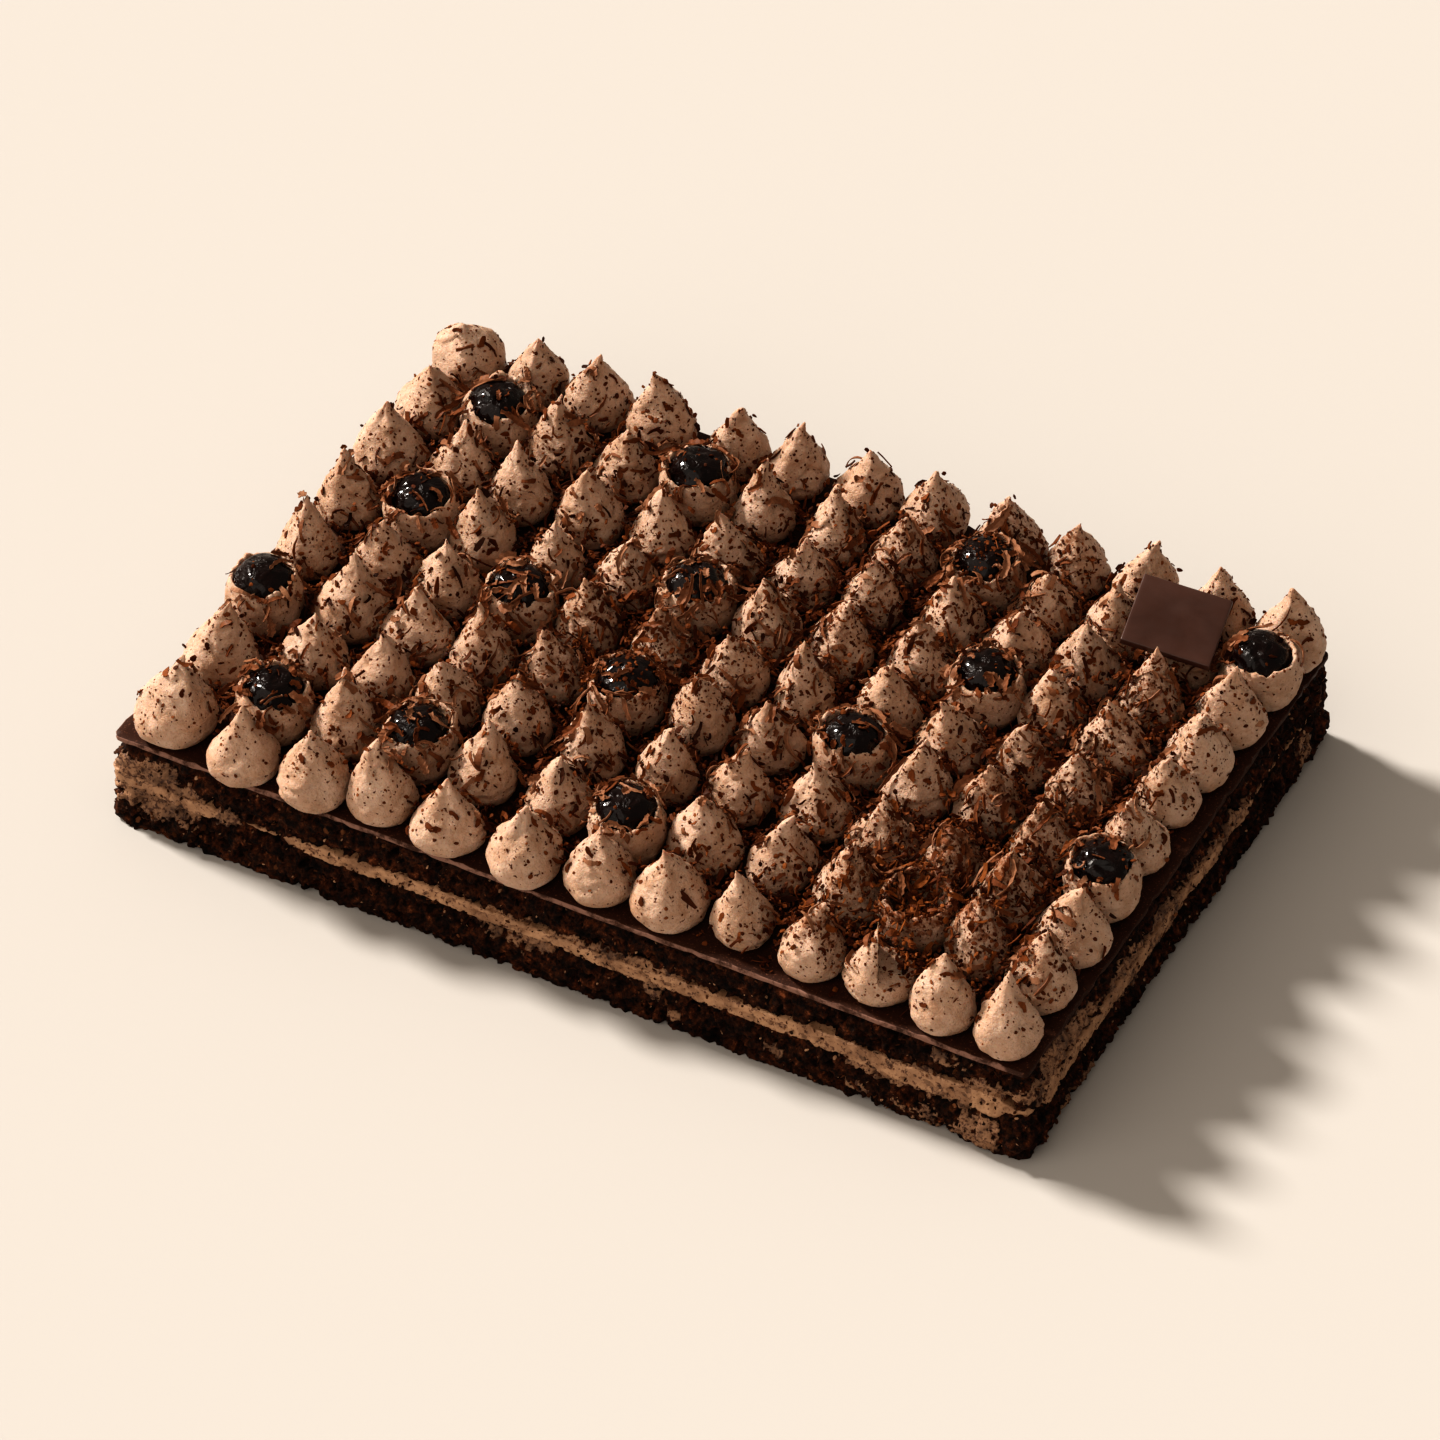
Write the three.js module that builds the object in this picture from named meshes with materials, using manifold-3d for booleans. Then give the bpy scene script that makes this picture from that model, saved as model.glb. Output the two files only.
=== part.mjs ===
// Rectangular chocolate tray cake, put together as the real one is: a lower
// sponge, a band of cream, an upper sponge and a thin chocolate plate, then
// rows of piped cream kisses, cherries set into some of them and a small
// chocolate square laid on the kisses near the back right corner.
// Millimetres, +Z up, +X along the long side, origin at the centre of the
// underside. The side towards -Y is the long front face.
import * as THREE from "three";
import { mergeVertices } from "three/addons/utils/BufferGeometryUtils.js";
import Module from "manifold-3d";

// The slab
const LENGTH = 360;
const WIDTH = 243;
const PLATE_TOP = 40.3;
const PLATE_THICKNESS = 2.3;
const PLATE_CORNER = 2.5;
const CREAM_LOW = 18.6;
const CREAM_HIGH = 24.6;
const CREAM_CORNER_SWELL = 2.2;
const LAYER_GAP = 0.3;
const WALL_WAVE = 0.9;
const SEAM_WAVE = 0.8;
const SLAB_CORNER = 6;
const STEPS_LONG = 12;
const STEPS_SHORT = 8;

// The piping: one entry for each row that runs from the front to the back.
// kinds, front to back: k kiss, c cup with a cherry, h hollow cup, b blunt
// kiss, p kiss pressed flat. x and y are the places of the first and the last
// kiss, sway and bow how far the row's middle is carried to the right and to
// the back, and nearer how much closer to the front its first cup was piped.
const ROWS = [
  { kinds: "kkckkkkb", x: [-162, -163.5], y: [-108, 108], sway: -1.5, bow: 5, nearer: 0 },
  { kinds: "kckkkckck", x: [-130, -137], y: [-114, 111], sway: -1.5, bow: -3, nearer: 4.5 },
  { kinds: "kkkkkkkkk", x: [-102, -111], y: [-113, 111], sway: -3, bow: -4, nearer: 0 },
  { kinds: "kckkckkkk", x: [-76, -84], y: [-111, 110], sway: -1, bow: -3, nearer: 0 },
  { kinds: "kkkkkkkck", x: [-49.5, -54], y: [-112, 110], sway: -3, bow: 1, nearer: 0 },
  { kinds: "kkkckckkk", x: [-19, -30], y: [-112, 111.5], sway: -1, bow: 0, nearer: 0 },
  { kinds: "kckkkkkkk", x: [9, -0.5], y: [-110, 112], sway: -1.5, bow: 1, nearer: 4.5 },
  { kinds: "kkkkkkkkk", x: [36, 26], y: [-109, 112], sway: -2, bow: 3, nearer: 0 },
  { kinds: "kkkckkkck", x: [63, 58], y: [-105, 112], sway: -1.5, bow: 8, nearer: 0 },
  { kinds: "kkkkkckkk", x: [91, 83.5], y: [-109, 112], sway: -1, bow: 6, nearer: 0 },
  { kinds: "khkkkkkkk", x: [117, 110.5], y: [-108, 112], sway: -2, bow: 8, nearer: 0 },
  { kinds: "kkkkkkkpk", x: [142, 139.5], y: [-110, 112], sway: -3, bow: 3, nearer: 0 },
  { kinds: "kkkckkkkck", x: [167, 167.5], y: [-110.5, 112], sway: -2.5, bow: 4, nearer: 0 },
];
const PLACE_WOBBLE = 0.8;
const SIDE_WOBBLE = 0.3;
const HEIGHT_WOBBLE = 0.06;
const TIP_LEAN = 0.06;
const TOUCH = 0.4;

// One kiss, turned about its own axis: radius and height of each ring
const KISS_SIDES = 8;
const KISS_BASE = [11.6, 0];
const KISS_BELLY = [12.9, 8];
const KISS_SHOULDER = [8.2, 19];
const BELLY_HALF_WIDTH = KISS_BELLY[0] * Math.cos(Math.PI / KISS_SIDES);
const KISS_TIP = 29.5;
const BLUNT_TOP = [5.5, 24];
const PRESSED_TOP = [6.5, 19.6];
const CUP_RIM = [12.4, 19.5];

// Cherries
const CHERRY_RADIUS = 10;
const CHERRY_RINGS = 4;
const CHERRY_RISE = 17.8;
const CHERRY_GAP = 0.35;

// The chocolate square that lies tilted on the kisses
const SQUARE_SIDE = 33;
const SQUARE_THICKNESS = 2.5;
const SQUARE_CENTRE = [135.2, 85.6, 64];
const SQUARE_TURN = 12;
const SQUARE_DIP_RIGHT = 9;
const SQUARE_DIP_FRONT = 5.5;

const wasm = await Module();
wasm.setup();

const paint = {
  sponge: [0x2e1a10, 0.95],
  cream: [0xb98c68, 0.7],
  chocolate: [0x5f4038, 0.5],
  square: [0x4a2c21, 0.4],
  cherry: [0x14090a, 0.12],
};

function material(name) {
  const [color, roughness] = paint[name];
  return new THREE.MeshStandardMaterial({ color, roughness, metalness: 0 });
}

// A repeatable value between -1 and 1 for the n-th small unevenness
function wobble(n) {
  const v = Math.sin(n * 12.9898) * 43758.5453;
  return 2 * (v - Math.floor(v)) - 1;
}

// A closed geometry as a solid that can be cut and joined
function solidOf(geometry) {
  const bare = new THREE.BufferGeometry();
  bare.setAttribute("position", geometry.getAttribute("position").clone());
  bare.setIndex(geometry.getIndex());
  const merged = mergeVertices(bare, 1e-4);
  return new wasm.Manifold(
    new wasm.Mesh({
      numProp: 3,
      vertProperties: new Float32Array(merged.getAttribute("position").array),
      triVerts: new Uint32Array(merged.getIndex().array),
    }),
  );
}

function geometryOf(solid) {
  const mesh = solid.getMesh();
  const geometry = new THREE.BufferGeometry();
  const vertices = new Float32Array(mesh.vertProperties);
  geometry.setAttribute("position", new THREE.BufferAttribute(vertices, 3));
  geometry.setIndex(new THREE.BufferAttribute(new Uint32Array(mesh.triVerts), 1));
  geometry.computeVertexNormals();
  return geometry;
}

// ---- The slab -----------------------------------------------------------

// Points round the slab's outline, anticlockwise, each with its way outwards
// and how far the wall falls in there. The middle of each side falls in by 0.
function slabOutline() {
  const halfX = LENGTH / 2;
  const halfY = WIDTH / 2;
  const sides = [
    { from: [-halfX, -halfY], to: [halfX, -halfY], out: [0, -1], steps: STEPS_LONG },
    { from: [halfX, -halfY], to: [halfX, halfY], out: [1, 0], steps: STEPS_SHORT },
    { from: [halfX, halfY], to: [-halfX, halfY], out: [0, 1], steps: STEPS_LONG },
    { from: [-halfX, halfY], to: [-halfX, -halfY], out: [-1, 0], steps: STEPS_SHORT },
  ];
  const points = [];
  for (const { from, to, out, steps } of sides) {
    const length = Math.hypot(to[0] - from[0], to[1] - from[1]);
    const trim = SLAB_CORNER / 2 / length;
    for (let i = 0; i <= steps; i++) {
      const t = trim + (1 - 2 * trim) * (i / steps);
      const middle = i === steps / 2;
      points.push({
        x: from[0] + (to[0] - from[0]) * t,
        y: from[1] + (to[1] - from[1]) * t,
        out,
        wave: middle ? 0 : -WALL_WAVE * Math.abs(wobble(points.length + 1)),
      });
    }
  }
  return points;
}

// Height of a seam between two layers. It swells near the front right corner,
// where the cream is thickest.
function seamAt(x, y, height, swell) {
  const corner = Math.max(0, (2 * x) / LENGTH) * Math.max(0, (-2 * y) / WIDTH);
  const roll = Math.sin(x / 23 + 1) * Math.cos(y / 31) + 0.5 * Math.sin(x / 9 + y / 12);
  return height + SEAM_WAVE * roll + swell * corner;
}

const lowerSeam = (x, y) => seamAt(x, y, CREAM_LOW, -CREAM_CORNER_SWELL);
const upperSeam = (x, y) => seamAt(x, y, CREAM_HIGH, CREAM_CORNER_SWELL);

// A layer between two surfaces. wall lists how far out the wall stands at
// each share of its height. Both faces are fans from the middle, so the faces
// of two layers that meet run exactly alongside each other.
function layerGeometry(bottomAt, topAt, wall) {
  const outline = slabOutline();
  const vertices = [];
  const faces = [];
  for (const [share, stand] of wall) {
    for (const p of outline) {
      const x = p.x + p.out[0] * (stand + p.wave);
      const y = p.y + p.out[1] * (stand + p.wave);
      const low = bottomAt(p.x, p.y);
      const high = topAt(p.x, p.y);
      vertices.push(x, y, low + (high - low) * share);
    }
  }
  const count = outline.length;
  for (let ring = 0; ring < wall.length - 1; ring++) {
    for (let i = 0; i < count; i++) {
      const next = (i + 1) % count;
      const a = ring * count + i;
      const b = ring * count + next;
      faces.push(a, b, b + count, a, b + count, a + count);
    }
  }
  const bottomMiddle = vertices.length / 3;
  vertices.push(0, 0, bottomAt(0, 0));
  vertices.push(0, 0, topAt(0, 0));
  const lastRing = (wall.length - 1) * count;
  for (let i = 0; i < count; i++) {
    const next = (i + 1) % count;
    faces.push(bottomMiddle, next, i);
    faces.push(bottomMiddle + 1, lastRing + i, lastRing + next);
  }
  const geometry = new THREE.BufferGeometry();
  geometry.setAttribute("position", new THREE.Float32BufferAttribute(vertices, 3));
  geometry.setIndex(faces);
  geometry.computeVertexNormals();
  return geometry;
}

function namedMesh(name, geometry, materialName) {
  const mesh = new THREE.Mesh(geometry, material(materialName));
  mesh.name = name;
  return mesh;
}

function lowerSponge() {
  const wall = [
    [0, 1.2],
    [0.35, 2.6],
    [1, 0.8],
  ];
  return namedMesh("sponge_bottom", layerGeometry(() => 0, lowerSeam, wall), "sponge");
}

function creamLayer() {
  const wall = [
    [0, 0.8],
    [0.5, 1.4],
    [1, 0.8],
  ];
  const bottom = (x, y) => lowerSeam(x, y) + LAYER_GAP;
  return namedMesh("cream_layer", layerGeometry(bottom, upperSeam, wall), "cream");
}

function upperSponge() {
  const wall = [
    [0, 0.8],
    [0.5, 1.1],
    [1, -0.6],
  ];
  const bottom = (x, y) => upperSeam(x, y) + LAYER_GAP;
  const top = () => PLATE_TOP - PLATE_THICKNESS - LAYER_GAP;
  return namedMesh("sponge_top", layerGeometry(bottom, top, wall), "sponge");
}

function chocolatePlate() {
  const halfX = LENGTH / 2 - PLATE_CORNER;
  const halfY = WIDTH / 2 - PLATE_CORNER;
  const outline = new THREE.Shape();
  outline.absarc(halfX, -halfY, PLATE_CORNER, -Math.PI / 2, 0);
  outline.absarc(halfX, halfY, PLATE_CORNER, 0, Math.PI / 2);
  outline.absarc(-halfX, halfY, PLATE_CORNER, Math.PI / 2, Math.PI);
  outline.absarc(-halfX, -halfY, PLATE_CORNER, Math.PI, 1.5 * Math.PI);
  const geometry = new THREE.ExtrudeGeometry(outline, {
    depth: PLATE_THICKNESS,
    bevelEnabled: false,
    curveSegments: 2,
  });
  const mesh = namedMesh("chocolate_plate", geometry, "chocolate");
  mesh.position.z = PLATE_TOP - PLATE_THICKNESS;
  return mesh;
}

// ---- The piping ---------------------------------------------------------

// Every kiss and cup of one row, front to back, with its place on the plate
function rowPlaces(row, rowNumber) {
  const last = row.kinds.length - 1;
  return [...row.kinds].map((kind, i) => {
    const seed = 20 * rowNumber + i;
    const along = i / last;
    const middle = Math.sin(Math.PI * along);
    const nearer = i === row.kinds.indexOf("c") ? row.nearer : 0;
    return {
      kind,
      seed,
      x: THREE.MathUtils.lerp(...row.x, along) + row.sway * middle + SIDE_WOBBLE * wobble(seed + 1),
      y: THREE.MathUtils.lerp(...row.y, along) + row.bow * middle - nearer + PLACE_WOBBLE * wobble(seed + 2),
    };
  });
}

// Outline of a kiss, from the middle of its base up to its tip or flat top.
// rise stretches what stands above the belly.
function kissProfile(kind, rise) {
  const tops = {
    k: [KISS_SHOULDER, [0, KISS_TIP]],
    b: [KISS_SHOULDER, BLUNT_TOP, [0, BLUNT_TOP[1]]],
    p: [PRESSED_TOP, [0, PRESSED_TOP[1]]],
    c: [CUP_RIM, [0, CUP_RIM[1]]],
    h: [CUP_RIM, [0, CUP_RIM[1]]],
  };
  const upper = tops[kind].map(([r, z]) => [r, KISS_BELLY[1] + (z - KISS_BELLY[1]) * rise]);
  return [[0, 0], KISS_BASE, KISS_BELLY, ...upper].map(([r, z]) => new THREE.Vector2(r, z));
}

// A turned shape standing on Z, with flat sides towards X and Y
function turned(profile, sides) {
  const geometry = new THREE.LatheGeometry(profile, sides);
  geometry.rotateX(Math.PI / 2);
  geometry.rotateZ(Math.PI / sides);
  return geometry;
}

// Widens a turned shape along Y by one factor in front and another behind
function spread(geometry, front, back) {
  const position = geometry.getAttribute("position");
  for (let i = 0; i < position.count; i++) {
    const y = position.getY(i);
    position.setY(i, y * (y < 0 ? front : back));
  }
}

// One kiss or cup. front and back say how far its belly spreads each way.
function kissSolid(place, front, back) {
  const pointed = place.kind === "k";
  const rise = pointed ? 1 + HEIGHT_WOBBLE * wobble(place.seed + 3) : 1;
  const leanX = pointed ? TIP_LEAN * wobble(place.seed + 4) : 0;
  const leanY = pointed ? TIP_LEAN * wobble(place.seed + 5) : 0;
  const geometry = turned(kissProfile(place.kind, rise), KISS_SIDES);
  spread(geometry, front / BELLY_HALF_WIDTH, back / BELLY_HALF_WIDTH);
  geometry.translate(0, 0, -KISS_BELLY[1]);
  geometry.applyMatrix4(new THREE.Matrix4().makeShear(0, 0, 0, 0, leanX, leanY));
  geometry.translate(place.x, place.y, PLATE_TOP + LAYER_GAP + KISS_BELLY[1]);
  const body = solidOf(geometry);
  const hollow = place.kind === "c" || place.kind === "h";
  return hollow ? body.subtract(solidOf(cherryGeometry(place, CHERRY_GAP))) : body;
}

function cherryGeometry(place, grow) {
  const radius = CHERRY_RADIUS + grow;
  const geometry = new THREE.SphereGeometry(radius, KISS_SIDES, CHERRY_RINGS);
  geometry.rotateX(Math.PI / 2);
  geometry.rotateZ(Math.PI / KISS_SIDES);
  geometry.translate(place.x, place.y, PLATE_TOP + CHERRY_RISE);
  return geometry;
}

// A whole row: the kisses are piped so close that each one runs into the next
function kissRow(row, rowNumber) {
  const places = rowPlaces(row, rowNumber);
  const halfWay = (i) => (places[i + 1].y - places[i].y) / 2 + TOUCH;
  const solids = places.map((place, i) => {
    const front = i > 0 ? halfWay(i - 1) : BELLY_HALF_WIDTH;
    const back = i < places.length - 1 ? halfWay(i) : BELLY_HALF_WIDTH;
    return kissSolid(place, front, back);
  });
  const joined = solids.reduce((whole, next) => whole.add(next));
  const label = String(rowNumber + 1).padStart(2, "0");
  return namedMesh("kiss_row_" + label, geometryOf(joined), "cream");
}

function cherries() {
  const places = ROWS.flatMap(rowPlaces).filter((place) => place.kind === "c");
  return places.map((place, i) => {
    const label = String(i + 1).padStart(2, "0");
    return namedMesh("cherry_" + label, cherryGeometry(place, 0), "cherry");
  });
}

function chocolateSquare() {
  const geometry = new THREE.BoxGeometry(SQUARE_SIDE, SQUARE_SIDE, SQUARE_THICKNESS);
  const mesh = namedMesh("chocolate_square", geometry, "square");
  const [turn, right, front] = [SQUARE_TURN, SQUARE_DIP_RIGHT, SQUARE_DIP_FRONT].map(
    THREE.MathUtils.degToRad,
  );
  mesh.rotation.set(front, right, turn, "ZYX");
  mesh.position.set(...SQUARE_CENTRE);
  return mesh;
}

const cake = new THREE.Group();
cake.add(lowerSponge());
cake.add(creamLayer());
cake.add(upperSponge());
cake.add(chocolatePlate());
cake.add(...ROWS.map(kissRow));
cake.add(...cherries());
cake.add(chocolateSquare());

export default cake;
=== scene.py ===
import math

import bmesh
import bpy
import numpy as np
from mathutils import Matrix, Vector, noise


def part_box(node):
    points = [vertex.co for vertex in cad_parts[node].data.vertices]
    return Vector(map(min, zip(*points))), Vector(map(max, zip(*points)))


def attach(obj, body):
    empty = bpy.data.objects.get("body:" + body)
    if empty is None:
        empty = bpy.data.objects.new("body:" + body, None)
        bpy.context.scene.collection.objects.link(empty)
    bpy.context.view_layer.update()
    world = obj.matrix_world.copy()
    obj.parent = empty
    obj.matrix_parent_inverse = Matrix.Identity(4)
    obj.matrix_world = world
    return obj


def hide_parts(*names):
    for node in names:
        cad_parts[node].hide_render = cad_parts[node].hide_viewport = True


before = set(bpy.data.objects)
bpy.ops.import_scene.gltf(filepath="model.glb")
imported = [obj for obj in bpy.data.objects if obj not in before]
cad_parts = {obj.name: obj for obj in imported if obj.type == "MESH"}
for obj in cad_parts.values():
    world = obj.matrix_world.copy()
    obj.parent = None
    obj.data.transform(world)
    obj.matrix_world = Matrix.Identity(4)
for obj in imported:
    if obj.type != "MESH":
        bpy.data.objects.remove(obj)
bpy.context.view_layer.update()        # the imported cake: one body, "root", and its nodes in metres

# ---------------------------------------------------------------------------
# Lower sponge. Dark chocolate sponge, baked in a tray and cut with a knife,
# so its walls are torn crumb with open air holes. It carries all the rest.
# ---------------------------------------------------------------------------
MM = 0.001
PLATE_LOW, PLATE_HIGH = (np.array(corner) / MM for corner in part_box("chocolate_plate"))
HALF_X = PLATE_HIGH[0]
HALF_Y = PLATE_HIGH[1]
SLAB_CORNER = 4.0
WALL_STEP = 0.68
LOWER_SEAM = 19.2
UPPER_SEAM = 24.2
SEAM_ROLL = 0.8
SEAM_TEAR = 0.6
CORNER_SWELL = 1.8
SEAM_PINCH = 3.0
SPONGE_FOOT, LOWER_ROWS = 0.15, 30
WALL_HEIGHTS = [0, 6.5, 18, 22, 31, 38]
WALL_STANDS = [1.0, 2.4, 0.8, 0.9, 0.6, -0.8]
CRUMB_DARK = (0.0090, 0.0032, 0.0012)
CRUMB_BROWN = (0.064, 0.0235, 0.0088)
# The lightest crumb colour is a painted glint, put where the noise is highest.
CRUMB_PAINTED_GLINT = (0.19, 0.082, 0.038)
CRUMB_STOPS = [(0.42, CRUMB_DARK), (0.60, CRUMB_BROWN), (0.70, CRUMB_PAINTED_GLINT)]
CRUMB_WARMTH = [(0.38, (0.42, 0.36, 0.33)), (0.66, (1.5, 1.2, 1.05))]


def bumps(points, size, seed=0):
    """Smooth unevenness from about -1 to 1, with bumps about size mm across."""
    shifted = points / size + seed * 17.31
    return np.array([noise.noise(p) for p in shifted.tolist()])


def cell_depth(points, size, seed=0):
    """Distance to the middle of the nearest crumb, as a share of its size."""
    shifted = points / size + seed * 11.7
    return np.array([noise.voronoi(p)[0][0] for p in shifted.tolist()])


def ease(low, high, value):
    """0 below low, 1 above high, smooth between."""
    t = np.clip((value - low) / (high - low), 0, 1)
    return t * t * (3 - 2 * t)


def unit(vectors):
    """Vectors made 1 long."""
    return vectors / np.linalg.norm(vectors, axis=-1, keepdims=True)


def slab_outline():
    """Points close together round the slab, and how far round each one is."""
    core_x, core_y = HALF_X - SLAB_CORNER, HALF_Y - SLAB_CORNER
    points = []
    corners = [(core_x, -core_y), (core_x, core_y), (-core_x, core_y), (-core_x, -core_y)]
    for quarter, (x, y) in enumerate(corners):
        for turn in np.linspace(quarter - 1, quarter, 9) * math.pi / 2:
            points.append((x + SLAB_CORNER * math.cos(turn), y + SLAB_CORNER * math.sin(turn)))
    points.append(points[0])
    points = np.array(points)
    along = np.r_[0, np.cumsum(np.hypot(*np.diff(points, axis=0).T))]
    return points, along


def wall_band(rows):
    """A ring of quads round a unit circle, with as many rows of vertices as asked for."""
    _, along = slab_outline()
    bm = bmesh.new()
    bmesh.ops.create_circle(bm, segments=int(along[-1] / WALL_STEP), radius=1)
    edges = bm.edges[:]
    for _ in range(rows - 1):
        made = bmesh.ops.extrude_edge_only(bm, edges=edges)["geom"]
        upper = [g for g in made if isinstance(g, bmesh.types.BMVert)]
        bmesh.ops.translate(bm, verts=upper, vec=(0, 0, 1))
        edges = [g for g in made if isinstance(g, bmesh.types.BMEdge) and
                 abs(g.verts[1].co.z - g.verts[0].co.z) < 0.5]
    return bm


def way_out(foot):
    """The way outwards from the slab's rounded core, for places round it."""
    core = np.array([HALF_X - SLAB_CORNER, HALF_Y - SLAB_CORNER])
    return unit(foot - np.clip(foot, -core, core))


def round_the_slab(bm):
    """Row number, point on the slab's outline and way outwards, for each vertex of a wall_band."""
    co = np.array([v.co[:] for v in bm.verts])
    points, along = slab_outline()
    far = (np.arctan2(co[:, 1], co[:, 0]) / (2 * math.pi) % 1) * along[-1]
    foot = np.c_[np.interp(far, along, points[:, 0]), np.interp(far, along, points[:, 1])]
    return np.round(co[:, 2]).astype(int), foot, way_out(foot)


def squeezed(foot):
    """How far the sponges were pressed together at a place round the slab, from 0 to 1."""
    x, y = foot[:, 0], foot[:, 1]
    corner = ease(HALF_X - 11, HALF_X - 5, x) * ease(HALF_Y - 14, HALF_Y - 8, -y)
    behind = ease(HALF_X - 4, HALF_X - 1, x) * ease(50, 62, y)
    left = ease(HALF_Y - 4, HALF_Y - 1, -y) * ease(-141, -136, x) * (1 - ease(-112, -106, x)) * 0.7
    elsewhere = 0.7 * ease(0.25, 0.5, bumps(np.c_[foot, 0 * x], 38, 6)) * ease(-20, 20, y)
    return np.clip(corner + behind + left + elsewhere, 0, 1)


def seam(foot, height, swell):
    """Height of the seam between two layers at a point of the outline, torn by the knife."""
    x, y = foot[:, 0], foot[:, 1]
    corner = np.clip(x / HALF_X, 0, 1) * np.clip(-y / HALF_Y, 0, 1)
    roll = np.sin(x / 23 + 1) * np.cos(y / 31) + 0.5 * np.sin(x / 9 + y / 12)
    flat = np.c_[foot, np.full(len(foot), height)]
    tear = bumps(flat, 3.1) + 0.8 * bumps(flat, 1.2, 3)
    closed = np.sign(swell) * SEAM_PINCH * squeezed(foot)
    return height + SEAM_ROLL * roll + swell * corner + SEAM_TEAR * tear - closed


def wall_stand(foot, z):
    """How far the cut wall stands out from the plate's edge at height z."""
    corner = ease(0.72, 1, foot[:, 0] / HALF_X) * ease(0.72, 1, -foot[:, 1] / HALF_Y)
    swell = 2.2 * corner * np.exp(-(((z - 9) / 11) ** 2))
    return np.interp(z, WALL_HEIGHTS, WALL_STANDS) + swell + 0.9 * bumps(np.c_[foot, z], 26, 5)


def crumb_relief(points):
    """Height of the torn crumb on a wall, in mm."""
    torn = 0.8 * bumps(points, 6.5, 1) + 0.6 * bumps(points, 1.4, 2)
    lumps = 2.7 * (0.42 - cell_depth(points, 3.6)) + 1.4 * (0.42 - cell_depth(points, 1.7, 3))
    lumps += 1.6 * (0.45 - cell_depth(points, 6.4, 8))
    holes = 3.0 * ease(0.14, 0.36, bumps(points, 4.4, 4)) + 1.5 * ease(0.22, 0.45, bumps(points, 2.2, 17))
    coarse = 0.95 + 0.9 * bumps(points, 11, 19)
    return torn + (lumps - holes) * coarse * (0.6 + 0.4 * ease(0, 4, points[:, 2]))


def placed(bm, places):
    """Moves the vertices of a bmesh to some places."""
    for vert, place in zip(bm.verts, places.tolist()):
        vert.co = place


def layer_bmesh(low_at, high_at, rows, relief, insets=(0.8, 2.0, 5.0, 12.0)):
    """A closed slab between two heights. Its wall gets the relief, and inner rings make its ledges."""
    inner = len(insets)
    bm = wall_band(rows + 2 * inner)
    row, foot, out = round_the_slab(bm)
    step = np.clip(row - inner, 0, rows - 1)
    share = step / (rows - 1)
    low, high = low_at(foot), high_at(foot)
    z = low + (high - low) * share
    inset = np.zeros(len(row))
    for i, depth in enumerate(insets):
        inset[(row == inner - 1 - i) | (row == inner + rows + i)] = depth
    wall = np.c_[foot, z]
    stand = wall_stand(foot, z) + relief(wall)
    ledge = ease(0, 4, inset)
    stand = stand * (1 - ledge) - inset
    z += 0.35 * bumps(wall, 1.9, 7) * (inset > 0) * (1 - ledge)
    placed(bm, np.c_[foot + out * stand[:, None], z])
    rims = [e for e in bm.edges if e.is_boundary]
    bmesh.ops.holes_fill(bm, edges=rims, sides=0)
    bmesh.ops.recalc_face_normals(bm, faces=bm.faces[:])
    return bm


def finished(name, bm, material, nodes=()):
    """Ends a piece: from mm to metres, with its finish, on its body and in its node's place."""
    bmesh.ops.scale(bm, verts=bm.verts[:], vec=(MM, MM, MM))
    mesh = bpy.data.meshes.new(name)
    bm.to_mesh(mesh)
    bm.free()
    dressed(mesh, material, nodes)


def dressed(mesh, material, nodes=(), smooth=True):
    """Puts a mesh in the scene as a piece of the cake, with its finish."""
    mesh.polygons.foreach_set("use_smooth", [smooth] * len(mesh.polygons))
    mesh.materials.append(material)
    piece = bpy.data.objects.new(mesh.name, mesh)
    bpy.context.scene.collection.objects.link(piece)
    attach(piece, "root")
    if nodes:
        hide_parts(*nodes)


def blank_material(name):
    """A new material, its nodes and its Principled shader."""
    material = bpy.data.materials.new(name)
    material.use_nodes = True
    tree = material.node_tree
    return material, tree, tree.nodes["Principled BSDF"]


def fed(tree, node, inputs):
    """A shader node whose inputs get values, or links where another node's output is given."""
    for name, value in inputs.items():
        if hasattr(value, "is_linked"):
            tree.links.new(value, node.inputs[name])
        else:
            node.inputs[name].default_value = value
    return node


def grain(tree, scale, detail=3.0, roughness=0.6, distortion=0.0, offset=0.0):
    """Noise on Object coordinates: scale is bumps for each metre."""
    where = tree.nodes.new("ShaderNodeTexCoord").outputs["Object"]
    shift = (offset, offset * 0.7, -offset)
    shifted = fed(tree, tree.nodes.new("ShaderNodeMapping"), {"Location": shift, "Vector": where})
    return fed(tree, tree.nodes.new("ShaderNodeTexNoise"), {
        "Vector": shifted.outputs["Vector"], "Scale": scale, "Detail": detail, "Roughness": roughness,
        "Distortion": distortion}).outputs["Fac"]


def ramp(tree, factor, stops):
    """Colours along a factor: stops are (position, (r, g, b))."""
    node = fed(tree, tree.nodes.new("ShaderNodeValToRGB"), {"Fac": factor})
    elements = node.color_ramp.elements
    while len(elements) < len(stops):
        elements.new(0.5)
    for element, (position, colour) in zip(elements, stops):
        element.position = position
        element.color = (*colour, 1)
    return node.outputs["Color"]


def blended(tree, factor, first, second, way="MIX"):
    """Two colours mixed by a factor."""
    node = tree.nodes.new("ShaderNodeMix")
    node.data_type = "RGBA"
    node.blend_type = way
    first, second = ((*c, 1) if isinstance(c, tuple) else c for c in (first, second))
    return fed(tree, node, {0: factor, 6: first, 7: second}).outputs[2]


def spread_of(tree, factor, low, high, start=0.3, end=0.7):
    """Goes from low to high, such as a roughness, while a factor goes from start to end."""
    return fed(tree, tree.nodes.new("ShaderNodeMapRange"), {
        "Value": factor, "From Min": start, "From Max": end, "To Min": low, "To Max": high}).outputs["Result"]


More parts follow.
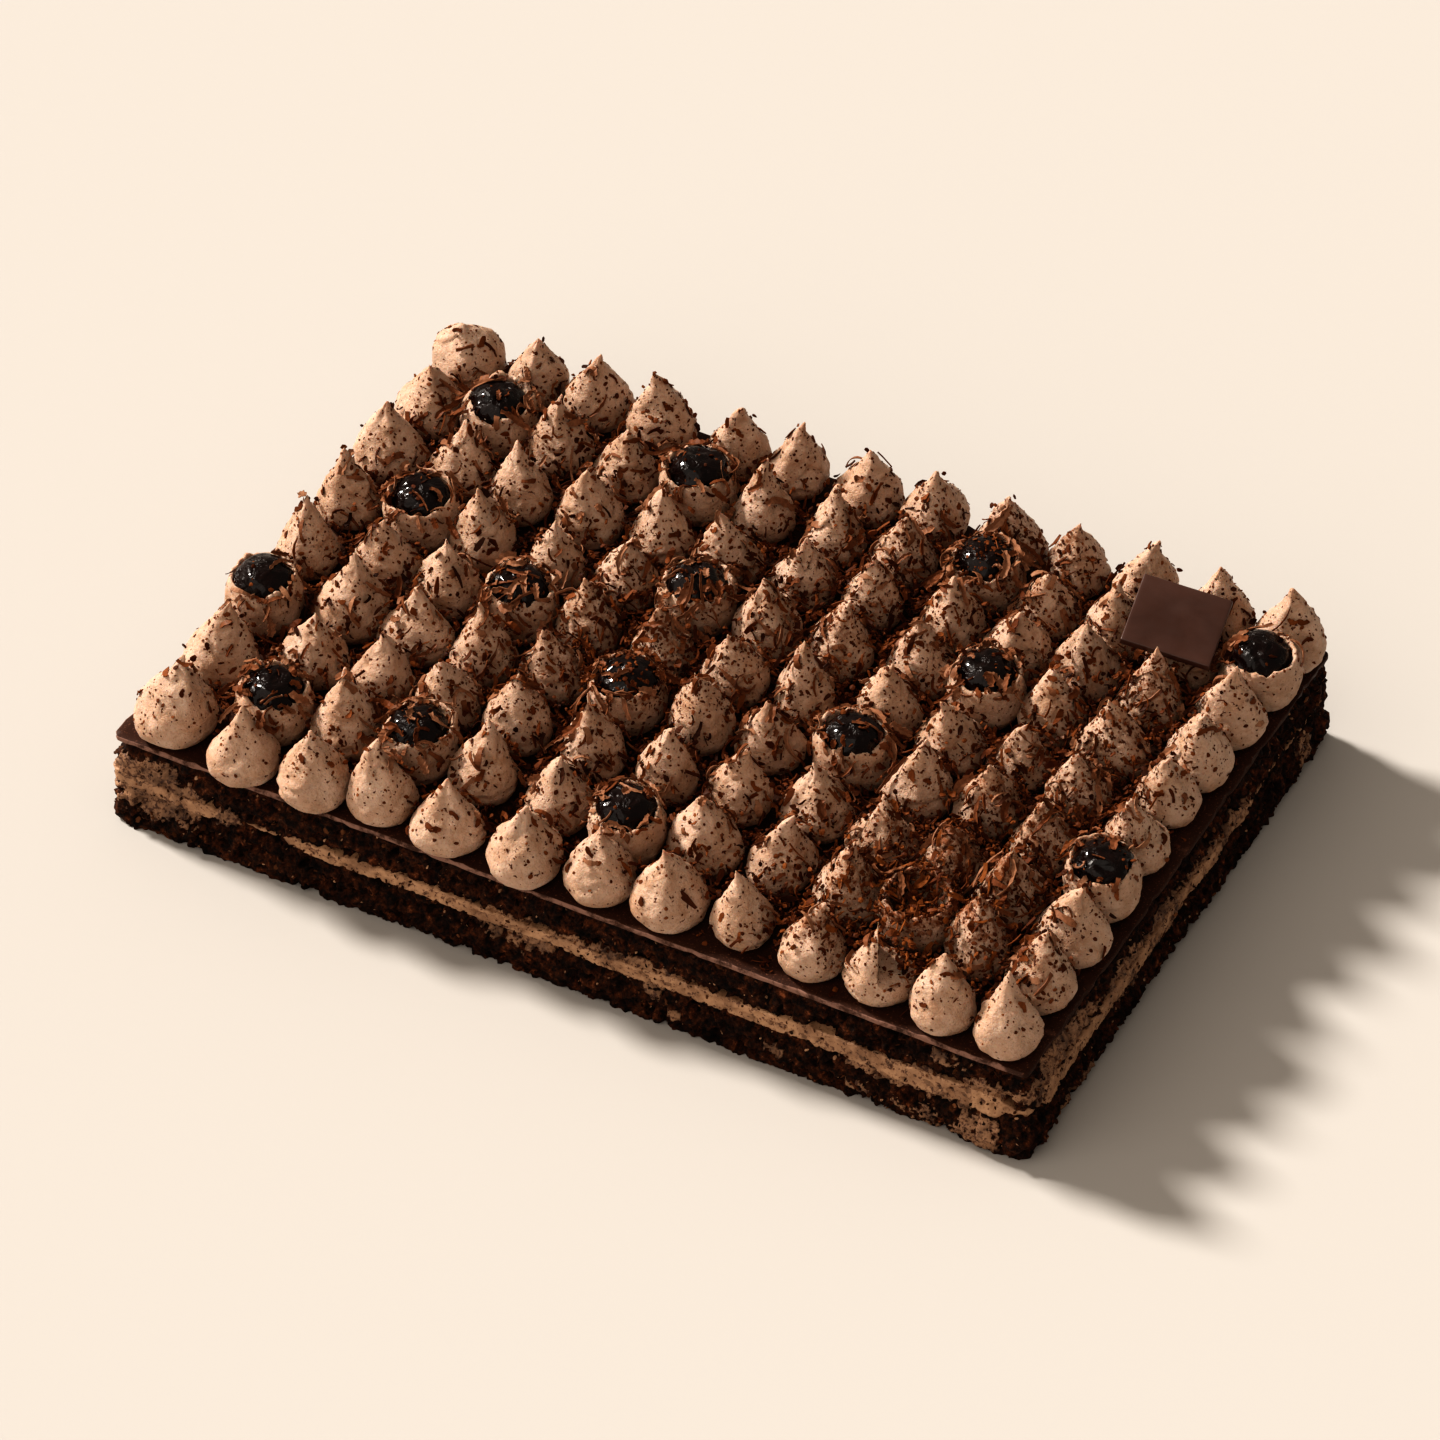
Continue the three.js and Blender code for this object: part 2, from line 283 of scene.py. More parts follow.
def relief_of(tree, factor, depth, strength=1.0, below=None):
    """A bump whose full height is depth in metres, on top of another one if that is given."""
    inputs = {"Height": factor, "Distance": depth, "Strength": strength}
    if below is not None:
        inputs["Normal"] = below
    return fed(tree, tree.nodes.new("ShaderNodeBump"), inputs).outputs["Normal"]


def surfaced(tree, shader, colour, rough, reliefs, gloss=0.5):
    """Gives the shader its colour, its specular level, and a roughness and relief made of grain.

    rough is (grain, least, greatest). Each relief is (grain, depth, strength), the lowest first.
    """
    noise_of, least, greatest = rough
    normal = None
    for grained, depth, strength in reliefs:
        height = grain(tree, *grained) if isinstance(grained, tuple) else grained
        normal = relief_of(tree, height, depth, strength, normal)
    fed(tree, shader, {"Base Color": colour, "Normal": normal, "Specular IOR Level": gloss,
                       "Roughness": spread_of(tree, grain(tree, *noise_of), least, greatest)})


def crumb_material():
    material, tree, shader = blank_material("sponge_crumb")
    # Dark and brown crumb, with a painted glint in the lightest patches.
    colour = ramp(tree, grain(tree, 340, 4, 0.7), CRUMB_STOPS)
    warm = ramp(tree, grain(tree, 130, 3, 0.6, offset=3), CRUMB_WARMTH)
    surfaced(tree, shader, blended(tree, 1.0, colour, warm, "MULTIPLY"), ((900, 2, 0.6), 0.55, 0.98),
             [((1500, 3, 0.7), 0.0004, 0.8), ((560, 3, 0.7), 0.0009, 0.7)], gloss=0.15)
    return material


crumb = crumb_material()


def lower_seam(foot):
    return seam(foot, LOWER_SEAM, -CORNER_SWELL)


def upper_seam(foot):
    return seam(foot, UPPER_SEAM, CORNER_SWELL)


def flat_at(height):
    return lambda foot: np.full(len(foot), height)


finished(
    "torn_lower_sponge",
    layer_bmesh(flat_at(SPONGE_FOOT), lower_seam, LOWER_ROWS, crumb_relief),
    crumb, ["sponge_bottom"],
)

# ---------------------------------------------------------------------------
# Cream layer. Whipped chocolate cream spread between the sponges, then cut
# through, so its edge is smooth where the knife drew it and ragged at crumbs.
# ---------------------------------------------------------------------------
CREAM_ROWS = 12
FILLING_DARK = (0.215, 0.110, 0.056)
FILLING_LIGHT = (0.430, 0.250, 0.142)
FILLING_SPECK = (0.30, 0.20, 0.16)


def filling_material(name, dark, light, clean):
    """Whipped cream with crumbs drawn into it: clean is the share of it without them."""
    material, tree, shader = blank_material(name)
    colour = ramp(tree, grain(tree, 110, 4, 0.6, 0.4), [(0.32, dark), (0.6, light)])
    speckled = [(clean, (1, 1, 1)), (clean + 0.08, FILLING_SPECK)]
    specks = ramp(tree, grain(tree, 620, 3, 0.7, offset=2), speckled)
    surfaced(tree, shader, blended(tree, 1.0, colour, specks, "MULTIPLY"), ((300, 2), 0.5, 0.75),
             [((1300, 3, 0.7), 0.0003, 0.6), ((420, 3, 0.6), 0.0006, 0.6)], gloss=0.4)
    return material


def cream_relief(points):
    """The drawn edge of the cream: long low waves, and dents where crumbs dragged."""
    long = points * np.array([0.35, 0.35, 1.0])
    dents = 1.1 * ease(0.2, 0.42, bumps(points, 2.9, 10))
    sunk = 1.6 * squeezed(points[:, :2])
    return 0.7 + 0.6 * bumps(long, 4.5, 8) + 0.45 * bumps(points, 1.5, 9) - dents - sunk


filling = filling_material("cream_filling", FILLING_DARK, FILLING_LIGHT, clean=0.56)
finished(
    "spread_cream",
    layer_bmesh(lower_seam, upper_seam, CREAM_ROWS, cream_relief),
    filling, ["cream_layer"],
)

# ---------------------------------------------------------------------------
# Upper sponge. The same dark sponge as below, a little thinner. It is laid on
# the cream, which holds it, and carries the chocolate plate.
# ---------------------------------------------------------------------------
UPPER_ROWS, UNDER_PLATE = 21, 0.1
finished(
    "torn_upper_sponge",
    layer_bmesh(upper_seam, flat_at(PLATE_LOW[2] - UNDER_PLATE), UPPER_ROWS, crumb_relief),
    crumb, ["sponge_top"],
)

# ---------------------------------------------------------------------------
# Cream smears. The knife drags cream over the cut sponge, in thin patches
# that are broken by crumbs. They lie on both sponges and cling to them.
# ---------------------------------------------------------------------------
SMEAR_ROWS = 46
SMEAR_LOW, SMEAR_HIGH = 0.8, 37.0
SMEAR_THICKNESS = 0.9
DRAGGED_DARK = (0.098, 0.046, 0.022)
DRAGGED_LIGHT = (0.300, 0.165, 0.090)
# On each side: place along it, height, half length, half height, and how whole the smear is
SMEARS = {
    "front": [
        (-163, 21, 18, 12.5, 0.25), (-158, 11, 10, 4.5, -0.1), (-134, 20, 9, 5, -0.35),
        (-17, 18.5, 16, 8, -0.1), (28, 22.5, 34, 4.4, 0.1), (37, 17, 5, 6, -0.1), (45, 8, 3, 2.8, 0),
        (84, 9, 4.5, 3, 0),
        (136, 20, 28, 5.6, 0.3), (117, 7, 5.5, 2.8, 0), (150, 33, 10, 3.5, -0.4), (145, 6, 17, 6, -0.4),
        (165, 8, 9, 9, 0.05), (165, 26, 9, 5.5, 0), (175, 28, 6, 2.2, 0),
    ],
    "right": [
        (-94, 28, 23, 8.5, 0.3), (-46, 23, 18, 8.5, 0.1), (-15, 23, 18, 7.5, 0.2), (25, 23.5, 29, 5, 0.2),
        (100, 12, 6, 8, -0.2), (-85, 3.6, 17, 2.5, 0),
    ],
    "back": [(-120, 18, 26, 8, 0), (-20, 25, 18, 6, 0.1), (70, 15, 22, 7, -0.1), (150, 24, 16, 9, 0.1)],
    "left": [(-90, 20, 22, 11, 0), (-10, 16, 16, 6, -0.1), (60, 27, 20, 6, 0.1), (105, 14, 12, 7, -0.2)],
}


def smear_cover(points):
    """Above 0 where a smear lies on the wall, and more the thicker it is."""
    x, y, z = points.T
    away = {"front": y + HALF_Y, "right": x - HALF_X, "back": y - HALF_Y, "left": x + HALF_X}
    cover = 0.55 - np.abs(z - (LOWER_SEAM + UPPER_SEAM) / 2) / 3.4 - 1.2 * squeezed(points[:, :2])
    for side, smears in SMEARS.items():
        place = x if side in ("front", "back") else y
        for along, height, half_length, half_height, whole in smears:
            near = 1 - ((place - along) / half_length) ** 2 - ((z - height) / half_height) ** 2
            near = np.minimum(near, 0.55) + whole
            cover = np.maximum(cover, np.where(np.abs(away[side]) < 3, near, -9))
    corner = ease(HALF_X - 9, HALF_X - 5, x) * ease(HALF_Y - 6, HALF_Y - 3, -y) * (1 - ease(23, 25, z))
    ragged = 0.7 * bumps(points, 5, 12) + 0.75 * bumps(points, 1.9, 13) + 0.45 * bumps(points, 0.9, 15)
    return cover + ragged - 0.3 - 3 * corner


def smears_bmesh():
    bm = wall_band(SMEAR_ROWS)
    row, foot, out = round_the_slab(bm)
    z = SMEAR_LOW + (SMEAR_HIGH - SMEAR_LOW) * row / (SMEAR_ROWS - 1)
    wall = np.c_[foot, z]
    cover = smear_cover(wall)
    relief = 0.5 * crumb_relief(wall) + 0.25 * bumps(wall, 1.4, 14)
    stand = wall_stand(foot, z) + relief + 0.15 + 0.9 * np.clip(cover, -0.6, 0.8)
    placed(bm, np.c_[foot + out * stand[:, None], z])
    bare = [v for v, c in zip(bm.verts, cover) if c < -0.3]
    bmesh.ops.delete(bm, geom=bare, context="VERTS")
    made = bmesh.ops.extrude_face_region(bm, geom=bm.faces[:])["geom"]
    under = [g for g in made if isinstance(g, bmesh.types.BMVert)]
    out = way_out(np.array([v.co[:2] for v in under]))
    for vert, (x, y) in zip(under, (out * SMEAR_THICKNESS).tolist()):
        vert.co -= Vector((x, y, 0))
    bmesh.ops.recalc_face_normals(bm, faces=bm.faces[:])
    return bm


dragged = filling_material("dragged_cream", DRAGGED_DARK, DRAGGED_LIGHT, clean=0.50)
finished("cream_smears", smears_bmesh(), dragged)

# ---------------------------------------------------------------------------
# Chocolate plate. A thin sheet of dark milk chocolate, cut to the slab's size
# and laid on the upper sponge. Its edges are snapped, its top is satin.
# ---------------------------------------------------------------------------
PLATE_GRID = 3.0
PLATE_CORNER, PLATE_ROUND = 2.2, 0.45
PLATE_DARK = (0.027, 0.0092, 0.0046)
PLATE_BLOOM = (0.049, 0.0185, 0.0097)
# Lighter colour of the snapped edges: partly the broken chocolate's own colour, partly a painted highlight.
PLATE_SNAP_AND_PAINTED_HIGHLIGHT = (0.250, 0.140, 0.104)
PLATE_DUST = (0.15, 0.062, 0.036)
PLATE_WORN = [(0.38, (0.08, 0.08, 0.08)), (0.54, (1, 1, 1))]


def cut_across(bm, axis, places):
    """New edges across a piece at each of some places along an axis."""
    normal = Vector((axis == 0, axis == 1, 0))
    for place in places:
        everything = bm.verts[:] + bm.edges[:] + bm.faces[:]
        bmesh.ops.bisect_plane(bm, geom=everything, plane_co=normal * place, plane_no=normal)


def plate_bmesh():
    bm = bmesh.new()
    bmesh.ops.create_cube(bm, size=1)
    size = PLATE_HIGH - PLATE_LOW
    bmesh.ops.scale(bm, verts=bm.verts[:], vec=Vector(size))
    bmesh.ops.translate(bm, verts=bm.verts[:], vec=Vector((PLATE_LOW + PLATE_HIGH) / 2))
    upright = [e for e in bm.edges if abs(e.verts[0].co.z - e.verts[1].co.z) > 1]
    bevel = dict(affect="EDGES", profile=0.5, material=-1)
    bmesh.ops.bevel(bm, geom=upright, offset=PLATE_CORNER, segments=4, **bevel)
    rims = [e for e in bm.edges if abs(e.verts[0].co.z - e.verts[1].co.z) < 0.1]
    bmesh.ops.bevel(bm, geom=rims, offset=PLATE_ROUND, segments=2, **bevel)
    for axis, half in ((0, HALF_X), (1, HALF_Y)):
        cut_across(bm, axis, np.arange(-half + PLATE_GRID, half, PLATE_GRID))
    co = np.array([v.co[:] for v in bm.verts])
    edge = np.minimum(HALF_X - np.abs(co[:, 0]), HALF_Y - np.abs(co[:, 1]))
    rim = 1 - ease(0, 3, edge)
    chips = 0.9 * ease(0.15, 0.55, bumps(co, 3.4, 21)) + 0.35 * bumps(co, 9, 22)
    away = np.sign(co[:, :2]) * (np.array([HALF_X, HALF_Y]) - np.abs(co[:, :2]) < 3)
    co[:, :2] -= away * (chips * rim)[:, None]
    co[:, 2] += 0.18 * bumps(co, 16, 23) * (co[:, 2] > PLATE_HIGH[2] - 1) + 0.12 * bumps(co, 30, 24)
    # The snapped attribute carries the edge colour. It is a painted highlight and snapped chocolate, kept at
    # 0.4 on the right side as painted shade.
    snapped = bm.verts.layers.float.new("snapped")
    snap_with_painted_shade = (edge < 0.3) * (1 - 0.6 * (co[:, 0] > HALF_X - 2))
    for vert, place, near in zip(bm.verts, co.tolist(), snap_with_painted_shade.tolist()):
        vert.co = place
        vert[snapped] = near
    return bm


def attribute_of(tree, name):
    node = tree.nodes.new("ShaderNodeAttribute")
    node.attribute_name = name
    return node.outputs["Fac"]


def plate_material():
    material, tree, shader = blank_material("satin_chocolate")
    colour = ramp(tree, grain(tree, 45, 5, 0.65, 0.6), [(0.3, PLATE_DARK), (0.68, PLATE_BLOOM)])
    dust = ramp(tree, grain(tree, 1400, 2, 0.6, offset=4), [(0.60, (0, 0, 0)), (0.72, (1, 1, 1))])
    dusted = blended(tree, dust, colour, PLATE_DUST)
    worn = ramp(tree, grain(tree, 170, 4, 0.7, offset=8), PLATE_WORN)
    # Edge colour: snapped chocolate and a painted highlight, with painted shade on the right side.
    snap_and_painted_light = ramp(tree, attribute_of(tree, "snapped"), [(0.45, (0, 0, 0)), (0.8, (1, 1, 1))])
    edge = blended(tree, 1.0, snap_and_painted_light, worn, "MULTIPLY")
    surfaced(tree, shader, blended(tree, edge, dusted, PLATE_SNAP_AND_PAINTED_HIGHLIGHT), ((160, 4, 0.7), 0.42, 0.70),
             [((1100, 2, 0.6), 0.00012, 0.5), ((120, 4, 0.6), 0.0005, 0.5)], gloss=0.13)
    return material


satin = plate_material()
finished("snapped_plate", plate_bmesh(), satin, ["chocolate_plate"])

# ---------------------------------------------------------------------------
# Piped kisses. Whipped chocolate cream pressed through a plain round nozzle,
# in rows that touch: a round belly drawn up to a soft, leaning tip. Some were
# opened to a cup for a cherry.
# ---------------------------------------------------------------------------
# One entry for each row, front to back. k is a kiss, c a cup, h a hollow cup,
# b a blunt kiss and p one pressed by the square on it. Then the places of the
# first and the last kiss, how far the middle is carried to the right and to the
# back, and how much nearer the front the first cup was piped.
KISS_ROWS = [
    ("kkckkkkb", (-162, -163.5), (-108, 108), -1.5, 5, 0),
    ("kckkkckck", (-130, -137), (-114, 111), -1.5, -3, 4.5),
    ("kkkkkkkkk", (-102, -111), (-113, 111), -3, -4, 0),
    ("kckkckkkk", (-76, -84), (-111, 110), -1, -3, 0),
    ("kkkkkkkck", (-49.5, -54), (-112, 110), -3, 1, 0),
    ("kkkckckkk", (-19, -30), (-112, 111.5), -1, 0, 0),
    ("kckkkkkkk", (9, -0.5), (-110, 112), -1.5, 1, 4.5),
    ("kkkkkkkkk", (36, 26), (-109, 112), -2, 3, 0),
    ("kkkckkkck", (63, 58), (-105, 112), -1.5, 8, 0),
    ("kkkkkckkk", (91, 83.5), (-109, 112), -1, 6, 0),
    ("khkkkkkkk", (117, 110.5), (-108, 112), -2, 8, 0),
    ("kkkkkkkpk", (142, 139.5), (-110, 112), -3, 3, 0),
    ("kkkckkkkck", (167, 167.5), (-110.5, 112), -2.5, 4, 0),
]
KISS_TURNS, KISS_RINGS = 54, 42
KISS_WIDTH, KISS_HEIGHT = 27.0, 31.0
KISS_OUTLINE = [(0, 0), (9.8, 0), (12.2, 1.9), (13.4, 5), (13.3, 7.6), (12.0, 11), (9.5, 15.2), (7.0, 19),
                (4.7, 22.6), (2.8, 25.8), (1.3, 28.6), (0.5, 30.5), (0, 31.0)]
BLUNT_OUTLINE = [(0, 0), (10.2, 0), (12.4, 1.8), (13.7, 5.4), (13.2, 9), (11.9, 13), (9.9, 16.6), (7.4, 19.8),
                 (4.4, 22.6), (1.9, 24.6), (0.8, 25.8), (0, 26.2)]
PRESSED_OUTLINE = [(0, 0), (10, 0), (12.4, 1.8), (13.7, 6), (13.4, 9.6), (11.4, 13.6), (8.4, 17.2),
                   (6.0, 19.2), (0, 19.8)]
CUP_OUTLINE = [(0, 0), (10.2, 0), (12.4, 1.7), (13.8, 5.6), (14.1, 9.6), (13.8, 14), (13.1, 17.6),
               (12.4, 20.2), (11.9, 20.8), (11.3, 20.2), (11.0, 17), (9.6, 12), (6.2, 8), (0, 6.6)]
OUTLINES = {"k": KISS_OUTLINE, "b": BLUNT_OUTLINE, "p": PRESSED_OUTLINE, "c": CUP_OUTLINE, "h": CUP_OUTLINE}
INNER_WIDTH, INNER_HEIGHT = 25.4, 30.2
# Along the front edge, left to right: width, height, lean to the photo's right and step to the front
FRONT_KISSES = [(29.2, 34, 3.4, 0), (26.4, 30.5, 0, 1.5), (25.4, 31.5, 0, 2.2), (23.8, 34, -3.4, 0.4),
                (26.2, 28.5, 0, 0), (27.4, 29.5, -0.7, 0), (26, 29, -0.8, 0), (27.4, 30.5, -1.8, 0),
                (23, 30, -1.1, 0), (23.5, 30, 2.2, 0), (24.2, 31, 0.8, 0), (24, 31.5, 0, 0),
                (23.5, 33, -0.6, 0)]
BITTEN_KISS = (10, 0)
PHOTO_RIGHT = np.array([0.886, 0.464])
# Widths along the right edge, front to back
RIGHT_WIDTHS = [23.5, 26, 28, 26.4, 26.4, 23, 26.8, 26.8, 27, 27]
CREAM_DARK = (0.400, 0.240, 0.152)
CREAM_LIGHT = (0.520, 0.358, 0.264)
COCOA_DARK = (0.070, 0.0185, 0.0050)
COCOA_WARM = (0.130, 0.040, 0.0125)
COCOA_HAZE = (0.20, 0.070, 0.024)
RUST = (0.205, 0.067, 0.0165)
# Middle and reach of the places where the grated chocolate lies thickest, and how thick
FALLS = [(112, -72, 34, 1.0), (135, -20, 36, 0.6), (62, 98, 30, 0.8), (28, 45, 46, 0.45),
         (-26, -8, 36, 0.6), (-58, -30, 42, 0.30), (92, -108, 16, 0.7), (-100, 80, 40, 0.15),
         (140, 50, 26, 0.5), (164, -82, 18, 0.6), (164, 20, 34, 0.3)]


def chocolate_fall(x, y):
    """How thickly grated chocolate fell at a place, from 0 to 1."""
    thick = 0.27 + 0 * x
    for middle_x, middle_y, reach, share in FALLS:
        thick = thick + share * np.exp(-((x - middle_x) ** 2 + (y - middle_y) ** 2) / reach ** 2)
    edge = np.minimum(ease(-121, -92, y), ease(-182, -150, x))
    right = 1 - 0.15 * ease(150, 166, x)
    near = np.exp(-((x - 92) ** 2 + (y + 108) ** 2) / 18 ** 2)
    return np.clip(thick * np.maximum(0.75 + 0.25 * edge, near) * right, 0, 1)


def wobble(n):
    """A repeatable value between -1 and 1, the same one that places the kisses in the frame."""
    v = math.sin(n * 12.9898) * 43758.5453
    return 2 * (v - math.floor(v)) - 1


def kiss_places():
    """Each kiss: its row, kind, number from the front, seed, and place on the plate in mm."""
    found = []
    for row, (kinds, (x_front, x_back), (y_front, y_back), sway, bow, nearer) in enumerate(KISS_ROWS):
        for i, kind in enumerate(kinds):
            seed = 20 * row + i
            share = i / (len(kinds) - 1)
            middle = math.sin(math.pi * share)
            step = nearer if i == kinds.find("c") else 0
            x = x_front + (x_back - x_front) * share + sway * middle + 0.3 * wobble(seed + 1)
            y = y_front + (y_back - y_front) * share + bow * middle - step + 0.8 * wobble(seed + 2)
            found.append((row, kind, i, seed, x, y))
    return found


def as_form(name, bm):
    """A bmesh as a mesh to copy, and where its vertices are."""
    mesh = bpy.data.meshes.new(name)
    bm.to_mesh(mesh)
    co = np.array([v.co[:] for v in bm.verts])
    bm.free()
    return mesh, co


def round_form(turns, rings):
    """A unit ball to copy, with the turn about Z and the level from 0 to 1 of each vertex."""
    bm = bmesh.new()
    bmesh.ops.create_uvsphere(bm, u_segments=turns, v_segments=rings, radius=1)
    mesh, co = as_form("round_form", bm)
    return mesh, np.arctan2(co[:, 1], co[:, 0]), np.arcsin(np.clip(co[:, 2], -1, 1)) / math.pi + 0.5


def along_outline(outline, level):
    """Radius and height at each level of a smoothed outline. A tenth of the levels makes the base."""
    points = np.array(outline, float)
    length = np.r_[0, np.cumsum(np.hypot(*np.diff(points, axis=0).T))]
    fine = np.linspace(0, length[-1], 600)
    lines = [np.interp(fine, length, points[:, k]) for k in (0, 1)]
    for _ in range(60):
        for line in lines:
            line[1:-1] = (line[:-2] + 2 * line[1:-1] + line[2:]) / 4
    base = length[1]
    far = np.where(level < 0.1, level / 0.1 * base, base + (level - 0.1) / 0.9 * (length[-1] - base))
    return np.interp(far, fine, lines[0]), np.interp(far, fine, lines[1])


def piped(kind, seed, width, height, tip, turn, level, bitten=False):
    """Vertices of one piped kiss or cup on z = 0, in mm, and how high up each is, from 0 to 1."""
    rng = np.random.default_rng(seed)
    r, z = along_outline(OUTLINES[kind], level)
    r = r * width / KISS_WIDTH
    z = z * height / KISS_HEIGHT
    up = np.clip(z / height, 0, 1)
    a, b, c = rng.uniform(0, 2 * math.pi, 3)
    folds = 0.0
    if kind in "kb":
        twist = rng.uniform(-1.6, 1.6) * up
        sharp = (np.abs(np.cos(1.5 * (turn + twist) + a)) - 0.64) * rng.choice([-1.0, 1.0])
        soft = 0.12 * np.cos(2 * turn + b)
        folds = up ** 1.5 * (0.30 * sharp + soft + 0.06 * np.cos(5 * turn + c + 3 * up))
        full = rng.uniform(-0.10, 0.16)
        r = r * (1 + full * np.sin(math.pi * np.clip((up - 0.25) / 0.75, 0, 1)))
    r = r * (1 + rng.uniform(0.01, 0.05) * np.cos(2 * (turn - c)) + folds)
    points = np.c_[r * np.cos(turn), r * np.sin(turn), z]
    shifted = points + 40 * seed
    lump = 0.9 * bumps(shifted, 8.5) + 0.55 * bumps(shifted, 3.4) + 0.32 * bumps(shifted, 1.7)
    for _ in range(4):
        height_of, round_at = rng.uniform(0.12, 0.75), rng.uniform(-math.pi, math.pi)
        slope = rng.uniform(-0.3, 0.3)
        beside = np.abs((turn - round_at + math.pi) % (2 * math.pi) - math.pi)
        lap = (up - height_of - slope * beside) * height
        fold = np.exp(-((lap / 0.7) ** 2)) - 0.6 * np.exp(-(((lap - 1.5) / 0.9) ** 2))
        lump -= rng.uniform(0.4, 1.0) * fold * (1 - ease(0.35, 0.9, beside))
    hold = ease(0, 0.06, up) * (1 - 0.5 * ease(0.9, 1, up))
    outwards = np.c_[np.cos(turn), np.sin(turn), 0.25 + 0 * turn]
    points += outwards * (lump * hold)[:, None]
    lean = rng.uniform(-0.09, 0.09, 2) * height
    if tip is not None:
        lean = tip * PHOTO_RIGHT
    points[:, :2] += lean * (up ** 1.6)[:, None]
    if kind == "k":
        hook = rng.uniform(-1.9, 1.9, 2)
        points[:, :2] += hook * (ease(0.80, 1, up) ** 1.5)[:, None]
    if bitten:
        beyond = points[:, :2] @ PHOTO_RIGHT + 1.0 - 0.6 * bumps(shifted, 2.2)
        cut = np.clip(beyond, 0, None) * ease(0.32, 0.38, up)
        points[:, :2] -= PHOTO_RIGHT * cut[:, None]
    if kind in "ch":
        rim = np.exp(-(((level - 0.62) / 0.09) ** 2))
        round_rim = np.c_[np.cos(turn), np.sin(turn), seed + 0 * turn]
        tear = bumps(round_rim, 0.34) + 0.9 * bumps(round_rim, 0.13)
        low_side = rng.uniform(-2.2, -0.4) * np.cos(turn + math.pi / 2 + rng.uniform(-0.7, 0.7))
        points[:, 2] += (2.5 * tear + low_side) * rim
        points[:, :2] *= (1 + (0.05 * tear - 0.05) * rim)[:, None]
    return points, up


def numbers_of(items, name):
    """One whole number of each item of a mesh, such as where its corners start."""
    values = np.zeros(len(items), int)
    items.foreach_get(name, values)
    return values


def joined_copies(name, form, places):
    """One mesh of copies of form. places has the vertices of each copy, in mm."""
    count, corners = places.shape[:2]
    loops, starts = numbers_of(form.loops, "vertex_index"), numbers_of(form.polygons, "loop_start")
    copy = np.arange(count)[:, None]
    mesh = bpy.data.meshes.new(name)
    mesh.vertices.add(count * corners)
    mesh.vertices.foreach_set("co", (places * MM).astype(np.float32).ravel())
    mesh.loops.add(count * len(loops))
    mesh.loops.foreach_set("vertex_index", (loops + corners * copy).ravel())
    mesh.polygons.add(count * len(starts))
    mesh.polygons.foreach_set("loop_start", (starts + len(loops) * copy).ravel())
    mesh.update(calc_edges=True)
    mesh.validate()
    return mesh


def marked(mesh, name, values):
    """Keeps one number for each vertex of a mesh."""
    attribute = mesh.attributes.new(name, "FLOAT", "POINT")
    attribute.data.foreach_set("value", values.astype(np.float32))


def passed(tree, factor, amount, share, low, high):
    """0 to 1 as factor plus a share of amount goes from low to high."""
    total = fed(tree, tree.nodes.new("ShaderNodeMath"), {0: amount, 1: share, 2: factor})
    total.operation = "MULTIPLY_ADD"
    return spread_of(tree, total.outputs[0], 0, 1, low, high)


def kiss_material():
    material, tree, shader = blank_material("piped_cream")
    colour = ramp(tree, grain(tree, 85, 5, 0.65, 0.5), [(0.33, CREAM_DARK), (0.60, CREAM_LIGHT)])
    # Small darker specks for pores: painted shade in tiny pits.
    pores_painted_shade = ramp(tree, grain(tree, 900, 3, 0.7, offset=1), [(0.34, (0.80, 0.75, 0.71)), (0.46, (1, 1, 1))])
    cream = blended(tree, 1.0, colour, pores_painted_shade, "MULTIPLY")
    dust = attribute_of(tree, "dust")
    haze = passed(tree, grain(tree, 260, 5, 0.75, offset=5), dust, 0.29, 0.72, 0.88)
    cream = blended(tree, haze, cream, COCOA_HAZE)
    speck = passed(tree, grain(tree, 620, 2, 0.5, offset=6), dust, 0.09, 0.682, 0.702)
    cocoa = ramp(tree, grain(tree, 800, 2, 0.5, offset=7), [(0.35, COCOA_DARK), (0.70, COCOA_WARM)])
    surfaced(tree, shader, blended(tree, speck, cream, cocoa), ((260, 3), 0.46, 0.66),
             [((1100, 3, 0.7), 0.0005, 0.7), (speck, 0.0004, 0.8), ((330, 5, 0.65), 0.0014, 0.7)], gloss=0.25)
    fed(tree, shader, {"Subsurface Weight": 0.25, "Subsurface Radius": (0.0028, 0.0012, 0.0006),
                       "Subsurface Scale": 1.0})
    return material


whipped = kiss_material()
kiss_form, kiss_turn, kiss_level = round_form(KISS_TURNS, KISS_RINGS)
rows = {}
for row, kind, i, seed, x, y in kiss_places():
    size_draw = np.random.default_rng(900 + seed)
    width = INNER_WIDTH * (1 + size_draw.uniform(-0.08, 0.07))
    height = INNER_HEIGHT * (1 + size_draw.uniform(-0.09, 0.10))
    tip = None
    step = 0
    if i == 0:
        width, height, tip, step = FRONT_KISSES[row]
    if row == len(KISS_ROWS) - 1:
        width = RIGHT_WIDTHS[i]
    if kind != "k":
        width, height = KISS_WIDTH, KISS_HEIGHT
    points, up = piped(kind, seed, width, height, tip, kiss_turn, kiss_level, (row, i) == BITTEN_KISS)
    points += np.array([x, y - step, PLATE_HIGH[2] + 0.05])
    fall = chocolate_fall(points[:, 0], points[:, 1]) * (0.85 + 0.3 * size_draw.uniform())
    dust = fall * (0.35 + 0.65 * ease(0.2, 0.6, up)) * (1 - 0.35 * ease(0.9, 1, up))
    # The haze and specks are thicker again at the foot of each kiss, so the kisses are darker towards the
    # bottom.
    dust = dust + 0.25 * fall * (1 - ease(0, 0.3, up))
    shapes, dusts = rows.setdefault(row, ([], []))
    shapes.append(points)
    dusts.append(dust)
